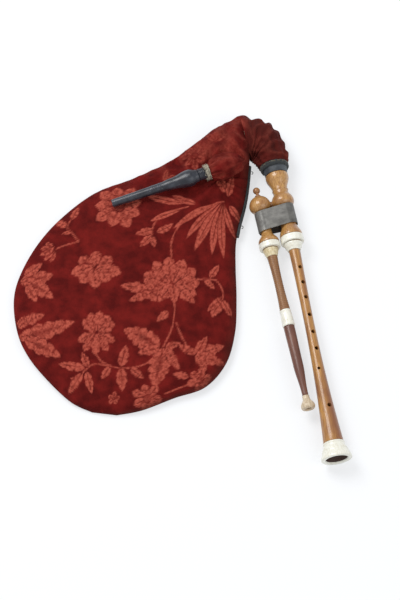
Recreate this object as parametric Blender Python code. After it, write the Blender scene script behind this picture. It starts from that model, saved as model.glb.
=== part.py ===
"""Cabrette: a velvet-covered bag with its inlet pipe, and a double stock that holds a chanter and a drone.

Lengths are in millimetres and angles in degrees; both are converted where a mesh or a place is made.
The instrument lies on a table, front upwards: X to the right, Y away from the chanter's bell, Z up,
and the origin is on the table below the middle of the outline.
Each turned piece is described along its own axis, which points towards its outer end.
"""

import math

import bmesh
import bpy
from mathutils import Matrix, Vector

MM = 0.001
CLEARANCE = 0.3
NEAR_AXIS = 1e-6
SMOOTH_BELOW = 35.0

# Places on the table
STOCK_WAIST_X = 150.6
STOCK_WAIST_Y = 151.2
STOCK_TURN = 11.5
CHANTER_LEAN = 2.1
PIVOT_X = 107.0
PIVOT_Y = 208.0
INLET_X = 27.6
INLET_Y = 167.7
INLET_HEIGHT = 43.0
INLET_TURN = 198.4
INLET_PITCH = 4.0

# Facets round a turned piece
WIDE_FACETS = 24
TUBE_FACETS = 16
SMALL_FACETS = 12

# Double stock, from the waist of its main barrel
SPIGOT_START = -56.0
SPIGOT_RADIUS = 11.6
SPIGOT_GROOVE_DEPTH = 1.2
CUP_START = -38.0
CUP_SEAT_RADIUS = 15.4
CUP_LIP_START = -26.8
CUP_RADIUS = 17.4
CUP_WIDEST = -22.0
WAIST_RADIUS = 11.3
WAIST_BEAD = 0.9
MAIN_BULB_PLACE = 19.0
MAIN_BULB_RADIUS = 16.85
BULB_UPPER_REACH = 16.5
BULB_LOWER_REACH = 11.5
BAND_SEAT_RADIUS = 12.0
MAIN_FLARE_START = 59.0
MAIN_FLARE_RADIUS = 17.0
MAIN_FERRULE_START = 77.6
MAIN_FERRULE_LENGTH = 10.8
MAIN_FERRULE_RADIUS = 17.5
MAIN_TENON_RADIUS = 13.0
REED_CHAMBER_RADIUS = 7.6
DRONE_SPACING = 35.0
DRONE_BULB_PLACE = 19.5
DRONE_BULB_RADIUS = 16.35
DRONE_BULB_LOWER_REACH = 12.5
DRONE_SEAT_RADIUS = 8.4
DRONE_FLARE_START = 64.5
DRONE_FLARE_RADIUS = 15.6
DRONE_FERRULE_START = 81.8
DRONE_FERRULE_LENGTH = 9.4
DRONE_FERRULE_RADIUS = 15.95
DRONE_TENON_RADIUS = 11.5
DRONE_CHAMBER_RADIUS = 5.5
DRONE_CHAMBER_START = 10.0
FERRULE_EDGE = 0.8

# Finial, air bridge and the metal band
FINIAL_BALL_RADIUS = 5.3
FINIAL_BALL_PLACE = -7.2
FINIAL_NECK_RADIUS = 2.3
FINIAL_FOOT_RADIUS = 4.7
FINIAL_PLUG_RADIUS = 2.8
FINIAL_PLUG_LENGTH = 5.0
BRIDGE_PLACE = 19.3
BRIDGE_RADIUS = 4.2
BRIDGE_BORE = 2.2
BAND_PLACE = 45.2
BAND_HEIGHT = 32.4
BAND_THICKNESS = 0.8
BAND_SLACK = 1.5
BAND_TILT = 4.9
BAND_LAP_REACH = 7.0

# Neck end: leather collar, hem tape and the cord that ties the skin to the stock
COLLAR_START = -41.0
COLLAR_END = -27.2
COLLAR_THICKNESS = 1.3
COLLAR_FLARE = 1.6
HEM_START = -44.0
HEM_END = -36.2
HEM_RADIUS = 21.7
NECK_TIE_PLACE = -49.5
NECK_TIE_LENGTH = 5.0
NECK_TIE_THICKNESS = 1.6

# Chanter, from the mouth of its socket
CHANTER_LENGTH = 343.3
CHANTER_TOP_RADIUS = 8.85
CHANTER_WAIST_RADIUS = 7.15
CHANTER_WAIST_PLACE = 110.0
CHANTER_BELL_RADIUS = 14.75
CHANTER_FLARE_POWER = 2.2
CHANTER_COLLAR_LENGTH = 11.6
CHANTER_COLLAR_RADIUS = 14.1
CHANTER_COLLAR_FOOT = 9.95
CHANTER_TENON_LENGTH = 26.0
CHANTER_TENON_RADIUS = 7.3
CHANTER_BORE_TOP = 2.2
CHANTER_BORE_END = 6.2
BELL_FLARE_LENGTH = 38.0
BELL_WOOD_MOUTH = 12.6
FRONT_HOLES = (42.3, 66.9, 91.0, 119.4, 146.8, 173.3)
HOLE_RADIUS = 2.8
HOLE_TURN = 21.0
LITTLE_HOLE_PLACE = 205.0
LITTLE_HOLE_RADIUS = 2.2
LITTLE_HOLE_TURN = -2.0
TUNING_HOLE_PLACE = 263.6
TUNING_HOLE_RADIUS = 3.0
THUMB_HOLE_PLACE = 30.0
HOLE_FACETS = 8
LAPPING_DEPTH = 0.7
LAPPING_LENGTH = 17.0
LAPPING_THICKNESS = 1.4

# Bell ferrule of the chanter
BELL_LENGTH = 25.5
BELL_SEAT_RADIUS = 14.0
BELL_SEAT_LENGTH = 17.8
BELL_RIM_RADIUS = 22.55
BELL_MOUTH_RADIUS = 16.8

# Double reed of the chanter
REED_SEAT_RADIUS = 2.9
REED_SEAT_DEPTH = 8.0
STAPLE_LENGTH = 24.0
STAPLE_TOP_RADIUS = 2.0
STAPLE_BORE = 1.4
BLADE_LENGTH = 26.0
BLADE_TIP_WIDTH = 8.6
BLADE_BASE_WIDTH = 3.0
BLADE_THICKNESS = 0.7
BLADE_TIP_GAP = 0.8
BLADE_OVERLAP = 4.0
REED_BINDING_LENGTH = 8.0
REED_BINDING_THICKNESS = 0.8

# Drone, from the mouth of its socket
DRONE_COLLAR_LENGTH = 12.4
DRONE_COLLAR_RADIUS = 11.7
DRONE_COLLAR_FOOT = 8.5
DRONE_TENON_LENGTH = 25.0
DRONE_PLUG_RADIUS = 6.3
DRONE_TOP_RADIUS = 7.75
DRONE_WAIST_RADIUS = 6.1
DRONE_UPPER_LENGTH = 100.9
DRONE_BORE = 2.2
SLIDE_RADIUS = 4.5
SLIDE_LENGTH = 22.0
SLIDE_WALL = 1.3
MID_FERRULE_LENGTH = 25.9
MID_FERRULE_RADIUS = 9.3
MID_FERRULE_TOP = 7.7
DRONE_LOWER_LENGTH = 110.3
DRONE_LOWER_RADIUS = 8.1
DRONE_SWELL_LENGTH = 58.0
DRONE_SWELL_RADIUS = 7.4
DRONE_END_RADIUS = 4.55
FOOT_LENGTH = 20.7
FOOT_RIM_RADIUS = 10.4
FOOT_MOUTH_RADIUS = 4.2
FOOT_MOUTH_DEPTH = 9.0
FOOT_TENON_LENGTH = 8.0
FOOT_TENON_RADIUS = 3.3
RING_COUNT = 6
RING_SPACING = 13.0
RING_HEIGHT = 0.5

# Single reed of the drone
DRONE_REED_RADIUS = 2.8
DRONE_REED_BORE = 1.3
DRONE_REED_LENGTH = 45.0
DRONE_REED_SEAT = 7.0
TONGUE_LENGTH = 26.0
TONGUE_WIDTH = 3.2
TONGUE_THICKNESS = 0.5
TONGUE_FLAT_DEPTH = 1.1
BRIDLE_LENGTH = 3.0

# Inlet pipe, from the face of its stock towards the tip
PIPE_LENGTH = 136.0
PIPE_END_RADIUS = 9.3
PIPE_BULB_RADIUS = 12.9
PIPE_BULB_PLACE = 13.0
PIPE_NECK_PLACE = 41.0
PIPE_NECK_RADIUS = 8.8
PIPE_RINGS_PLACE = 60.0
PIPE_RINGS_RADIUS = 7.0
PIPE_RING_SPACING = 2.9
PIPE_RING_COUNT = 5
PIPE_RING_HEIGHT = 0.35
PIPE_TIP_RADIUS = 5.75
PIPE_BORE = 3.2
PIPE_MOUTH_RADIUS = 3.9
PIPE_MOUTH_DEPTH = 10.0
PIPE_TENON_LENGTH = 21.0
PIPE_TENON_RADIUS = 5.1
INLET_STOCK_LENGTH = 38.0
INLET_STOCK_RADIUS = 9.0
INLET_STOCK_BODY = 8.7
INLET_TIE_START = 10.4
INLET_TIE_LENGTH = 7.6
INLET_TIE_RADIUS = 7.9
INLET_BORE = 4.2
INLET_SKIN_RADIUS = 9.3
BINDING_CORD_RADIUS = 0.75
BINDING_TURNS = 3
BINDING_PITCH = 2.0
BINDING_POINTS_PER_TURN = 14
VALVE_RADIUS = 5.8
VALVE_THICKNESS = 1.0
VALVE_HINGE_HEIGHT = 6.4
VALVE_TAB_WIDTH = 6.0
VALVE_KEEPER_HEIGHT = 1.7

# Bag: left edge, right edge, height at the middle and roundness of each section, from its far end to the neck
BAG_SECTIONS = (
    (-128.0, -194.5, -88.0, -199.5, 9.0, 0.0),
    (-158.0, -180.0, -52.0, -193.0, 17.0, 0.0),
    (-195.0, -144.0, -6.0, -175.0, 22.0, 0.0),
    (-222.0, -109.0, 38.0, -159.0, 25.5, 0.0),
    (-238.0, -72.0, 68.0, -123.0, 27.5, 0.0),
    (-244.5, -23.0, 81.5, -74.0, 28.5, 0.0),
    (-236.0, 19.0, 84.0, -21.0, 28.5, 0.0),
    (-212.0, 68.0, 83.0, 29.0, 28.5, 0.0),
    (-178.0, 111.0, 83.5, 66.0, 28.5, 0.0),
    (-130.0, 152.0, 88.0, 95.0, 28.0, 0.0),
    (-77.0, 175.0, 94.0, 120.0, 27.5, 0.0),
    (-36.0, 194.5, 98.0, 138.0, 30.5, 0.0),
    (-12.0, 207.5, 101.0, 157.0, 33.0, 0.0),
    (15.0, 225.0, 103.0, 174.0, 46.0, 0.2),
    (45.6, 247.8, 104.5, 191.0, 56.0, 0.4),
    (72.0, 266.0, 105.0, 202.0, 50.0, 0.6),
    (92.4, 277.8, 105.5, 208.5, 46.0, 0.7),
    (111.0, 271.0, 107.0, 207.5, 44.5, 0.8),
    (131.0, 267.5, 108.5, 205.5, 44.5, 0.8),
    (150.5, 250.0, 110.0, 202.5, 45.0, 0.9),
    (158.5, 227.0, 111.5, 199.0, 45.0, 1.0),
    (162.6, 206.0, 115.0, 194.5, 44.5, 1.0),
)
NECK_SECTION = 16
SKIN_NECK_SECTION = 19.0
SKIN_NECK_END = -45.0
FLAT_EDGE_SHARE = 0.36
ROUND_EDGE_SHARE = 0.5
CROWN_POWER = 0.8
FLAT_FLOOR_STEEPNESS = 2.2
SECTION_FACETS = 20
FINE_SECTIONS_FROM = 8
VELVET_THICKNESS = 1.4
SKIN_GAP = 0.6
SKIN_THICKNESS = 1.4
LEG_VELVET_START = -18.4
LEG_SKIN_START = -10.6
LEG_SKIN_THICKNESS = 1.1
LEG_GAP = 0.8
LEG_STATIONS = (
    (INLET_SKIN_RADIUS, LEG_SKIN_START),
    (INLET_SKIN_RADIUS, -17.6),
    (13.0, -21.5),
    (15.6, -28.0),
    (16.6, -36.0),
    (16.2, -46.0),
    (14.0, -56.0),
    (9.5, -65.0),
    (4.0, -70.0),
)
OVERRUN = 3.0
TAPE_FIRST_SECTION = 8.5
TAPE_LAST_SECTION = 14.0
TAPE_WIDTH = 8.0
TAPE_THICKNESS = 1.0
UPPER_HOOK_SECTION = 13.5
LOWER_HOOK_SECTION = 9.1
HOOK_WIRE_RADIUS = 0.6
HOOK_RADIUS = 2.2

# Values that follow from the ones above
PIPE_HEIGHT = BELL_RIM_RADIUS
SOCKET_MOUTH = MAIN_FERRULE_START + MAIN_FERRULE_LENGTH
DRONE_MOUTH = DRONE_FERRULE_START + DRONE_FERRULE_LENGTH
SKIN_OUTSET = VELVET_THICKNESS + SKIN_GAP
SKIN_INSET = SKIN_OUTSET + SKIN_THICKNESS
LAST_SECTION = len(BAG_SECTIONS) - 1
COLLAR_GAP = CLEARANCE + CHANTER_COLLAR_RADIUS * math.sin(math.radians(CHANTER_LEAN))
CHANTER_LAPPING_RADIUS = CHANTER_TENON_RADIUS - LAPPING_DEPTH + CLEARANCE + LAPPING_THICKNESS
CHANTER_SOCKET_RADIUS = CHANTER_LAPPING_RADIUS + CLEARANCE
DRONE_LAPPING_RADIUS = DRONE_PLUG_RADIUS - LAPPING_DEPTH + CLEARANCE + LAPPING_THICKNESS
DRONE_SOCKET_RADIUS = DRONE_LAPPING_RADIUS + CLEARANCE
SLIDE_LAPPING_RADIUS = SLIDE_RADIUS - LAPPING_DEPTH + CLEARANCE + LAPPING_THICKNESS
SLIDE_SOCKET_RADIUS = SLIDE_LAPPING_RADIUS + CLEARANCE
PIPE_LAPPING_RADIUS = PIPE_TENON_RADIUS - LAPPING_DEPTH + CLEARANCE + LAPPING_THICKNESS
PIPE_SOCKET_RADIUS = PIPE_LAPPING_RADIUS + CLEARANCE
BINDING_COIL_RADIUS = INLET_SKIN_RADIUS + CLEARANCE + BINDING_CORD_RADIUS
STOCK_SKIN_RADIUS = SPIGOT_RADIUS + CLEARANCE + SKIN_THICKNESS

FINISHES = {
    "red_velvet": ((0.21, 0.012, 0.008), 0.9, 0.0),
    "goatskin": ((0.62, 0.52, 0.38), 0.75, 0.0),
    "black_tape": ((0.012, 0.014, 0.016), 0.7, 0.0),
    "grey_leather": ((0.07, 0.075, 0.08), 0.65, 0.0),
    "waxed_thread": ((0.55, 0.45, 0.26), 0.8, 0.0),
    "varnished_boxwood": ((0.56, 0.29, 0.08), 0.28, 0.0),
    "brown_fruitwood": ((0.3, 0.13, 0.045), 0.4, 0.0),
    "reddish_wood": ((0.2, 0.075, 0.045), 0.42, 0.0),
    "bone": ((0.82, 0.77, 0.62), 0.35, 0.0),
    "horn": ((0.55, 0.46, 0.31), 0.4, 0.0),
    "grey_sheet_metal": ((0.17, 0.165, 0.155), 0.5, 0.9),
    "black_wood": ((0.02, 0.023, 0.028), 0.35, 0.0),
    "cane": ((0.66, 0.52, 0.24), 0.5, 0.0),
    "brass": ((0.6, 0.42, 0.14), 0.3, 1.0),
    "white_cord": ((0.66, 0.6, 0.46), 0.85, 0.0),
}


def clear_scene():
    for thing in list(bpy.data.objects):
        bpy.data.objects.remove(thing, do_unlink=True)


def finish(name):
    """The material of this name, made the first time it is asked for."""
    material = bpy.data.materials.get(name)
    if material is None:
        colour, roughness, metallic = FINISHES[name]
        material = bpy.data.materials.new(name)
        material.use_nodes = True
        shader = material.node_tree.nodes["Principled BSDF"]
        shader.inputs["Base Color"].default_value = (*colour, 1.0)
        shader.inputs["Roughness"].default_value = roughness
        shader.inputs["Metallic"].default_value = metallic
    return material


def add_object(name, mesh_or_curve, material, parent=None):
    thing = bpy.data.objects.new(name, mesh_or_curve)
    mesh_or_curve.materials.append(finish(material))
    thing.parent = parent
    bpy.context.scene.collection.objects.link(thing)
    return thing


def mesh_from(build, name, material, parent=None, smooth=True):
    """An object whose bmesh has millimetre points: it is closed, faced outwards and scaled to metres."""
    bmesh.ops.remove_doubles(build, verts=build.verts, dist=1e-4)
    bmesh.ops.recalc_face_normals(build, faces=build.faces)
    bmesh.ops.scale(build, verts=build.verts, vec=(MM, MM, MM))
    mesh = bpy.data.meshes.new(name)
    build.to_mesh(mesh)
    build.free()
    if smooth:
        mesh.shade_smooth()
        mesh.set_sharp_from_angle(angle=math.radians(SMOOTH_BELOW))
    return add_object(name, mesh, material, parent)


def axis_frame(name, place, rotation, parent=None):
    """An empty on a turned piece's axis, with its Z along it."""
    frame = bpy.data.objects.new(name, None)
    frame.rotation_mode = "QUATERNION"
    frame.rotation_quaternion = rotation
    frame.location = Vector(place) * MM
    frame.parent = parent
    bpy.context.scene.collection.objects.link(frame)
    return frame


def lying_rotation(turn):
    """Z points across the table at this turn from -Y towards +X, and Y points up."""
    level = Matrix.Rotation(math.radians(90.0), 3, "X")
    return (Matrix.Rotation(math.radians(turn), 3, "Z") @ level).to_quaternion()


def along(turn):
    """The direction on the table that lying_rotation gives to Z."""
    return Vector((math.sin(math.radians(turn)), -math.cos(math.radians(turn)), 0.0))


def turned(name, profile, material, parent, facets=TUBE_FACETS):
    """A lathe piece: profile lists (radius, place) down its outer side and, round a bore, back up the inside."""
    build = bmesh.new()
    points = [build.verts.new((radius, 0.0, place)) for radius, place in profile]
    edges = [build.edges.new(pair) for pair in zip(points, points[1:])]
    if profile[0][0] > NEAR_AXIS or profile[-1][0] > NEAR_AXIS:
        edges.append(build.edges.new((points[-1], points[0])))
    bmesh.ops.spin(
        build,
        geom=points + edges,
        cent=(0.0, 0.0, 0.0),
        axis=(0.0, 0.0, 1.0),
        angle=math.tau,
        steps=facets,
        use_merge=False,
        use_duplicate=False,
    )
    return mesh_from(build, name, material, parent)


def solid_of_turning(name, profile, material, parent, facets=TUBE_FACETS):
    """A lathe piece without a bore, closed on its axis at both ends."""
    closed = [(0.0, profile[0][1]), *profile, (0.0, profile[-1][1])]
    return turned(name, closed, material, parent, facets)


def sleeve(name, outer, bore, material, parent, facets=TUBE_FACETS):
    """A lathe piece with a straight bore through it."""
    inside = [(bore, outer[-1][1]), (bore, outer[0][1])]
    return turned(name, [*outer, *inside], material, parent, facets)


def swell(centre, radius, reach_before, reach_after, first, last, steps):
    """Points of an oval bulb between two places: its reach differs before and after its widest place."""
    points = []
    for step in range(steps + 1):
        place = first + (last - first) * step / steps
        reach = reach_before if place < centre else reach_after
        share = min(1.0, abs(place - centre) / reach)
        points.append((radius * math.sqrt(1.0 - share * share), place))
    return points


def swell_end(centre, radius, reach, side, wanted):
    """Where a bulb has narrowed to the wanted radius, on the side -1 or +1 of its widest place."""
    return centre + side * reach * math.sqrt(1.0 - (wanted / radius) ** 2)


def ease(first_radius, last_radius, first, last, steps):
    """Points along a curve that leaves and arrives level, as a cove does."""
    points = []
    for step in range(steps + 1):
        share = step / steps
        blend = 0.5 - 0.5 * math.cos(math.pi * share)
        points.append((first_radius + (last_radius - first_radius) * blend, first + (last - first) * share))
    return points


def cylinder(name, radius, first, last, parent, facets=TUBE_FACETS, across=None):
    """A guide for cutting a round hole; across turns and moves it off its parent's axis."""
    build = bmesh.new()
    bmesh.ops.create_cone(
        build,
        cap_ends=True,
        segments=facets,
        radius1=radius,
        radius2=radius,
        depth=last - first,
        matrix=(across or Matrix()) @ Matrix.Translation((0.0, 0.0, 0.5 * (first + last))),
    )
    return as_guide(mesh_from(build, name, "bone", parent, smooth=False))


def as_guide(thing):
    thing.hide_render = True
    thing.display_type = "WIRE"
    return thing


def cut(thing, guide):
    """A hole in the shape of the guide, which isn't part of the instrument."""
    hole = thing.modifiers.new(guide.name, "BOOLEAN")
    hole.operation = "DIFFERENCE"
    hole.solver = "EXACT"
    hole.object = guide


def lapping(name, tenon_radius, first, last, parent):
    """Waxed thread wound on a tenon, as one smooth sleeve."""
    inner = tenon_radius - LAPPING_DEPTH + CLEARANCE
    outer = inner + LAPPING_THICKNESS
    return sleeve(name, [(outer, first), (outer, last)], inner, "waxed_thread", parent)


def tenon(radius, first, last):
    """Points of a tenon with a shallow seat for its lapping."""
    middle = 0.5 * (first + last)
    start = middle - 0.5 * LAPPING_LENGTH - CLEARANCE
    end = middle + 0.5 * LAPPING_LENGTH + CLEARANCE
    seat = radius - LAPPING_DEPTH
    return [(radius, first), (radius, start), (seat, start), (seat, end), (radius, end), (radius, last)]


def lapping_ends(first, last):
    middle = 0.5 * (first + last)
    return middle - 0.5 * LAPPING_LENGTH, middle + 0.5 * LAPPING_LENGTH


def make_axes():
    """The empties that carry each body: the stock turns on the neck's pivot, and the pipes lie in the stock."""
    pivot_place = Vector((PIVOT_X, PIVOT_Y, PIPE_HEIGHT))
    waist = Vector((STOCK_WAIST_X, STOCK_WAIST_Y, PIPE_HEIGHT))
    stock_rotation = lying_rotation(STOCK_TURN)
    across = stock_rotation @ Vector((1.0, 0.0, 0.0))
    downwards = along(STOCK_TURN)
    pivot = axis_frame("neck_pivot", pivot_place, Matrix.Identity(3).to_quaternion())
    stock = axis_frame("stock_axis", waist - pivot_place, stock_rotation, pivot)
    chanter_place = waist + downwards * SOCKET_MOUTH
    chanter_rotation = lying_rotation(STOCK_TURN - CHANTER_LEAN)
    chanter = axis_frame("chanter_axis", chanter_place - pivot_place, chanter_rotation, pivot)
    drone_place = waist + downwards * DRONE_MOUTH - across * DRONE_SPACING
    drone = axis_frame("drone_axis", drone_place - pivot_place, stock_rotation, pivot)
    outwards = inlet_direction()
    inlet_place = Vector((INLET_X, INLET_Y, INLET_HEIGHT))
    inlet = axis_frame("inlet_axis", inlet_place, outwards.to_track_quat("Z", "Y"))
    return {"stock": stock, "chanter": chanter, "drone": drone, "inlet": inlet}


def inlet_direction():
    turn = math.radians(INLET_TURN)
    pitch = math.radians(INLET_PITCH)
    return Vector((math.cos(turn) * math.cos(pitch), math.sin(turn) * math.cos(pitch), -math.sin(pitch)))


def make_main_stock(axes):
    """The main barrel: spigot in the bag's neck, cup, waist, bulb, seat of the band and socket of the chanter."""
    groove = SPIGOT_RADIUS - SPIGOT_GROOVE_DEPTH
    tie_start = NECK_TIE_PLACE - 0.5 * NECK_TIE_LENGTH
    tie_end = NECK_TIE_PLACE + 0.5 * NECK_TIE_LENGTH
    bulb_start = swell_end(MAIN_BULB_PLACE, MAIN_BULB_RADIUS, BULB_UPPER_REACH, -1, WAIST_RADIUS)
    bulb_end = swell_end(MAIN_BULB_PLACE, MAIN_BULB_RADIUS, BULB_LOWER_REACH, 1, BAND_SEAT_RADIUS)
    outline = [
        (SPIGOT_RADIUS, SPIGOT_START),
        (SPIGOT_RADIUS, tie_start),
        (groove, tie_start + 1.0),
        (groove, tie_end - 1.0),
        (SPIGOT_RADIUS, tie_end),
        (SPIGOT_RADIUS, CUP_START - 3.0),
        (CUP_SEAT_RADIUS, CUP_START),
        (CUP_SEAT_RADIUS, CUP_LIP_START),
        (CUP_RADIUS - 0.6, CUP_LIP_START + CLEARANCE),
        (CUP_RADIUS, CUP_WIDEST),
        *ease(CUP_RADIUS, WAIST_RADIUS, CUP_WIDEST, -1.2, 5)[1:],
        (WAIST_RADIUS + WAIST_BEAD, 0.0),
        (WAIST_RADIUS, 1.2),
        *swell(MAIN_BULB_PLACE, MAIN_BULB_RADIUS, BULB_UPPER_REACH, BULB_LOWER_REACH, bulb_start, bulb_end, 9),
        *ease(BAND_SEAT_RADIUS, MAIN_FLARE_RADIUS, MAIN_FLARE_START, MAIN_FERRULE_START - CLEARANCE, 4),
        (MAIN_TENON_RADIUS, MAIN_FERRULE_START - CLEARANCE),
        (MAIN_TENON_RADIUS, SOCKET_MOUTH),
    ]
    barrel = solid_of_turning("main_stock", outline, "varnished_boxwood", axes["stock"], WIDE_FACETS)
    socket_depth = CHANTER_TENON_LENGTH + 2.0
    chamber_end = SOCKET_MOUTH - socket_depth + 2.0
    cut(barrel, cylinder("main_chamber_guide", REED_CHAMBER_RADIUS, SPIGOT_START - 5.0, chamber_end, axes["stock"]))
    cut(barrel, cylinder("chanter_socket_guide", CHANTER_SOCKET_RADIUS, -socket_depth, 5.0, axes["chanter"]))
    cut(barrel, bridge_guide("main_bridge_guide", 0.0, 0.5 * DRONE_SPACING, axes))


def make_drone_stock(axes):
    """The drone's barrel, beside the main one: bulb, seat of the band and socket of the drone."""
    top_radius = FINIAL_FOOT_RADIUS + 0.4
    bulb_start = swell_end(DRONE_BULB_PLACE, DRONE_BULB_RADIUS, BULB_UPPER_REACH, -1, top_radius)
    bulb_end = swell_end(DRONE_BULB_PLACE, DRONE_BULB_RADIUS, DRONE_BULB_LOWER_REACH, 1, DRONE_SEAT_RADIUS)
    flare_end = DRONE_FERRULE_START - CLEARANCE
    outline = [
        *swell(
            DRONE_BULB_PLACE, DRONE_BULB_RADIUS, BULB_UPPER_REACH, DRONE_BULB_LOWER_REACH, bulb_start, bulb_end, 10
        ),
        *ease(DRONE_SEAT_RADIUS, DRONE_FLARE_RADIUS, DRONE_FLARE_START, flare_end, 4),
        (DRONE_TENON_RADIUS, flare_end),
        (DRONE_TENON_RADIUS, DRONE_MOUTH),
    ]
    frame = axes["drone"]
    outline = [(radius, place - DRONE_MOUTH) for radius, place in outline]
    barrel = solid_of_turning("drone_stock", outline, "varnished_boxwood", frame, WIDE_FACETS)
    socket_depth = DRONE_TENON_LENGTH + 2.0
    chamber_start = DRONE_CHAMBER_START - DRONE_MOUTH
    cut(barrel, cylinder("drone_chamber_guide", DRONE_CHAMBER_RADIUS, chamber_start, 2.0 - socket_depth, frame))
    cut(barrel, cylinder("drone_socket_guide", DRONE_SOCKET_RADIUS, -socket_depth, 5.0, frame))
    plug_start = bulb_start - DRONE_MOUTH
    plug_end = plug_start + FINIAL_PLUG_LENGTH + 2.0 * CLEARANCE
    plug_radius = FINIAL_PLUG_RADIUS + CLEARANCE
    cut(barrel, cylinder("finial_hole_guide", plug_radius, plug_start - 5.0, plug_end, frame, SMALL_FACETS))
    cut(barrel, bridge_guide("drone_bridge_guide", 0.5 * DRONE_SPACING, DRONE_SPACING, axes))
    return bulb_start


def bridge_guide(name, first, last, axes):
    """The cross hole between the two barrels, from first to last millimetre away from the main axis."""
    across = Matrix.Translation((0.0, 0.0, BRIDGE_PLACE)) @ Matrix.Rotation(math.radians(-90.0), 4, "Y")
    return cylinder(name, BRIDGE_RADIUS + CLEARANCE, first, last, axes["stock"], SMALL_FACETS, across)


def make_air_bridge(axes):
    """The short tube that carries air from the main barrel to the drone's barrel."""
    first = REED_CHAMBER_RADIUS + CLEARANCE
    last = DRONE_SPACING - DRONE_CHAMBER_RADIUS - CLEARANCE
    turn = Matrix.Rotation(math.radians(-90.0), 4, "Y")
    outline = [(BRIDGE_RADIUS, first), (BRIDGE_RADIUS, last)]
    bridge = sleeve("air_bridge", outline, BRIDGE_BORE, "brown_fruitwood", axes["stock"], SMALL_FACETS)
    bridge.matrix_local = Matrix.Translation((0.0, 0.0, BRIDGE_PLACE * MM)) @ turn


def make_finial(axes, bulb_top):
    """The turned knob that closes the drone's barrel."""
    foot = bulb_top - CLEARANCE
    neck = FINIAL_BALL_PLACE + FINIAL_BALL_RADIUS + 0.4
    ball_end = FINIAL_BALL_PLACE + FINIAL_BALL_RADIUS * math.sqrt(
        1.0 - (FINIAL_NECK_RADIUS / FINIAL_BALL_RADIUS) ** 2
    )
    ball_start = FINIAL_BALL_PLACE - FINIAL_BALL_RADIUS
    outline = [
        *swell(
            FINIAL_BALL_PLACE, FINIAL_BALL_RADIUS, FINIAL_BALL_RADIUS, FINIAL_BALL_RADIUS, ball_start, ball_end, 8
        ),
        (FINIAL_NECK_RADIUS, neck),
        *ease(FINIAL_NECK_RADIUS, FINIAL_FOOT_RADIUS, neck + 0.3, foot - 0.8, 3),
        (FINIAL_FOOT_RADIUS, foot),
        (FINIAL_PLUG_RADIUS, foot),
        (FINIAL_PLUG_RADIUS, foot + FINIAL_PLUG_LENGTH),
        (0.0, foot + FINIAL_PLUG_LENGTH),
    ]
    outline = [(radius, place - DRONE_MOUTH) for radius, place in outline]
    turned("drone_stock_finial", outline, "brown_fruitwood", axes["drone"], SMALL_FACETS)


def ring_outline(start, length, radius, edge=FERRULE_EDGE):
    """The outer side of a ring with its two edges eased."""
    end = start + length
    return [(radius - edge, start), (radius, start + edge), (radius, end - edge), (radius - edge, end)]


def make_socket_ferrules(axes):
    """The white rings at the mouths of the two sockets."""
    main = ring_outline(MAIN_FERRULE_START, MAIN_FERRULE_LENGTH, MAIN_FERRULE_RADIUS)
    sleeve("main_stock_ferrule", main, MAIN_TENON_RADIUS + CLEARANCE, "bone", axes["stock"], WIDE_FACETS)
    drone = ring_outline(-DRONE_FERRULE_LENGTH, DRONE_FERRULE_LENGTH, DRONE_FERRULE_RADIUS)
    sleeve("drone_stock_ferrule", drone, DRONE_TENON_RADIUS + CLEARANCE, "bone", axes["drone"], WIDE_FACETS)


def belt(offset, steps=14):
    """A strap's line round both barrels at this offset from their seats, from the main barrel's underside."""
    main_radius = BAND_SEAT_RADIUS + BAND_SLACK + offset
    drone_radius = DRONE_SEAT_RADIUS + BAND_SLACK + offset
    lean = math.acos((main_radius - drone_radius) / DRONE_SPACING)
    points = []
    for step in range(steps + 1):
        angle = -lean + 2.0 * lean * step / steps
        points.append(Vector((main_radius * math.cos(angle), main_radius * math.sin(angle))))
    for step in range(steps + 1):
        angle = lean + (math.tau - 2.0 * lean) * step / steps
        points.append(Vector((drone_radius * math.cos(angle) - DRONE_SPACING, drone_radius * math.sin(angle))))
    return points


def lapped_belt():
    """The strap's outer line, with the lap of its free end as a second thickness over the drone's side."""
    plain = belt(BAND_THICKNESS)
    double = belt(2.0 * BAND_THICKNESS)
    half = len(plain) // 2
    lap_x = -DRONE_SPACING + BAND_LAP_REACH
    points = plain[:half]
    for line in (plain, double):
        before, after = line[half - 1], line[half]
        share = (before.x - lap_x) / (before.x - after.x)
        points.append(before.lerp(after, share))
    points.extend(double[half : half + half // 2 + 1])
    points.extend(plain[half + half // 2 :])
    return points


def prism(build, outline, low, high):
    """Walls and no ends: two rings of the outline at two heights, joined by faces."""
    lower = [build.verts.new((point.x, point.y, low)) for point in outline]
    upper = [build.verts.new((point.x, point.y, high)) for point in outline]
    for index in range(len(outline)):
        after = (index + 1) % len(outline)
        build.faces.new((lower[index], lower[after], upper[after], upper[index]))
    return lower, upper


def make_band(axes):
    """The sheet-metal strap round both barrels, a little askew, with its ends lapped at the drone's side."""
    build = bmesh.new()
    half = 0.5 * BAND_HEIGHT
    outer = prism(build, lapped_belt(), -half, half)
    inner = prism(build, belt(0.0), -half, half)
    for outer_ring, inner_ring in zip(outer, inner):
        ring = outer_ring + inner_ring
        edges = {edge for vert in ring for edge in vert.link_edges}
        flat = [edge for edge in edges if edge.verts[0] in ring and edge.verts[1] in ring]
        bmesh.ops.triangle_fill(build, use_beauty=True, use_dissolve=False, edges=flat, normal=(0.0, 0.0, 1.0))
    slope = math.tan(math.radians(BAND_TILT))
    for vert in build.verts:
        vert.co.z += BAND_PLACE - (vert.co.x + 0.5 * DRONE_SPACING) * slope
    mesh_from(build, "stock_band", "grey_sheet_metal", axes["stock"])


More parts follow.
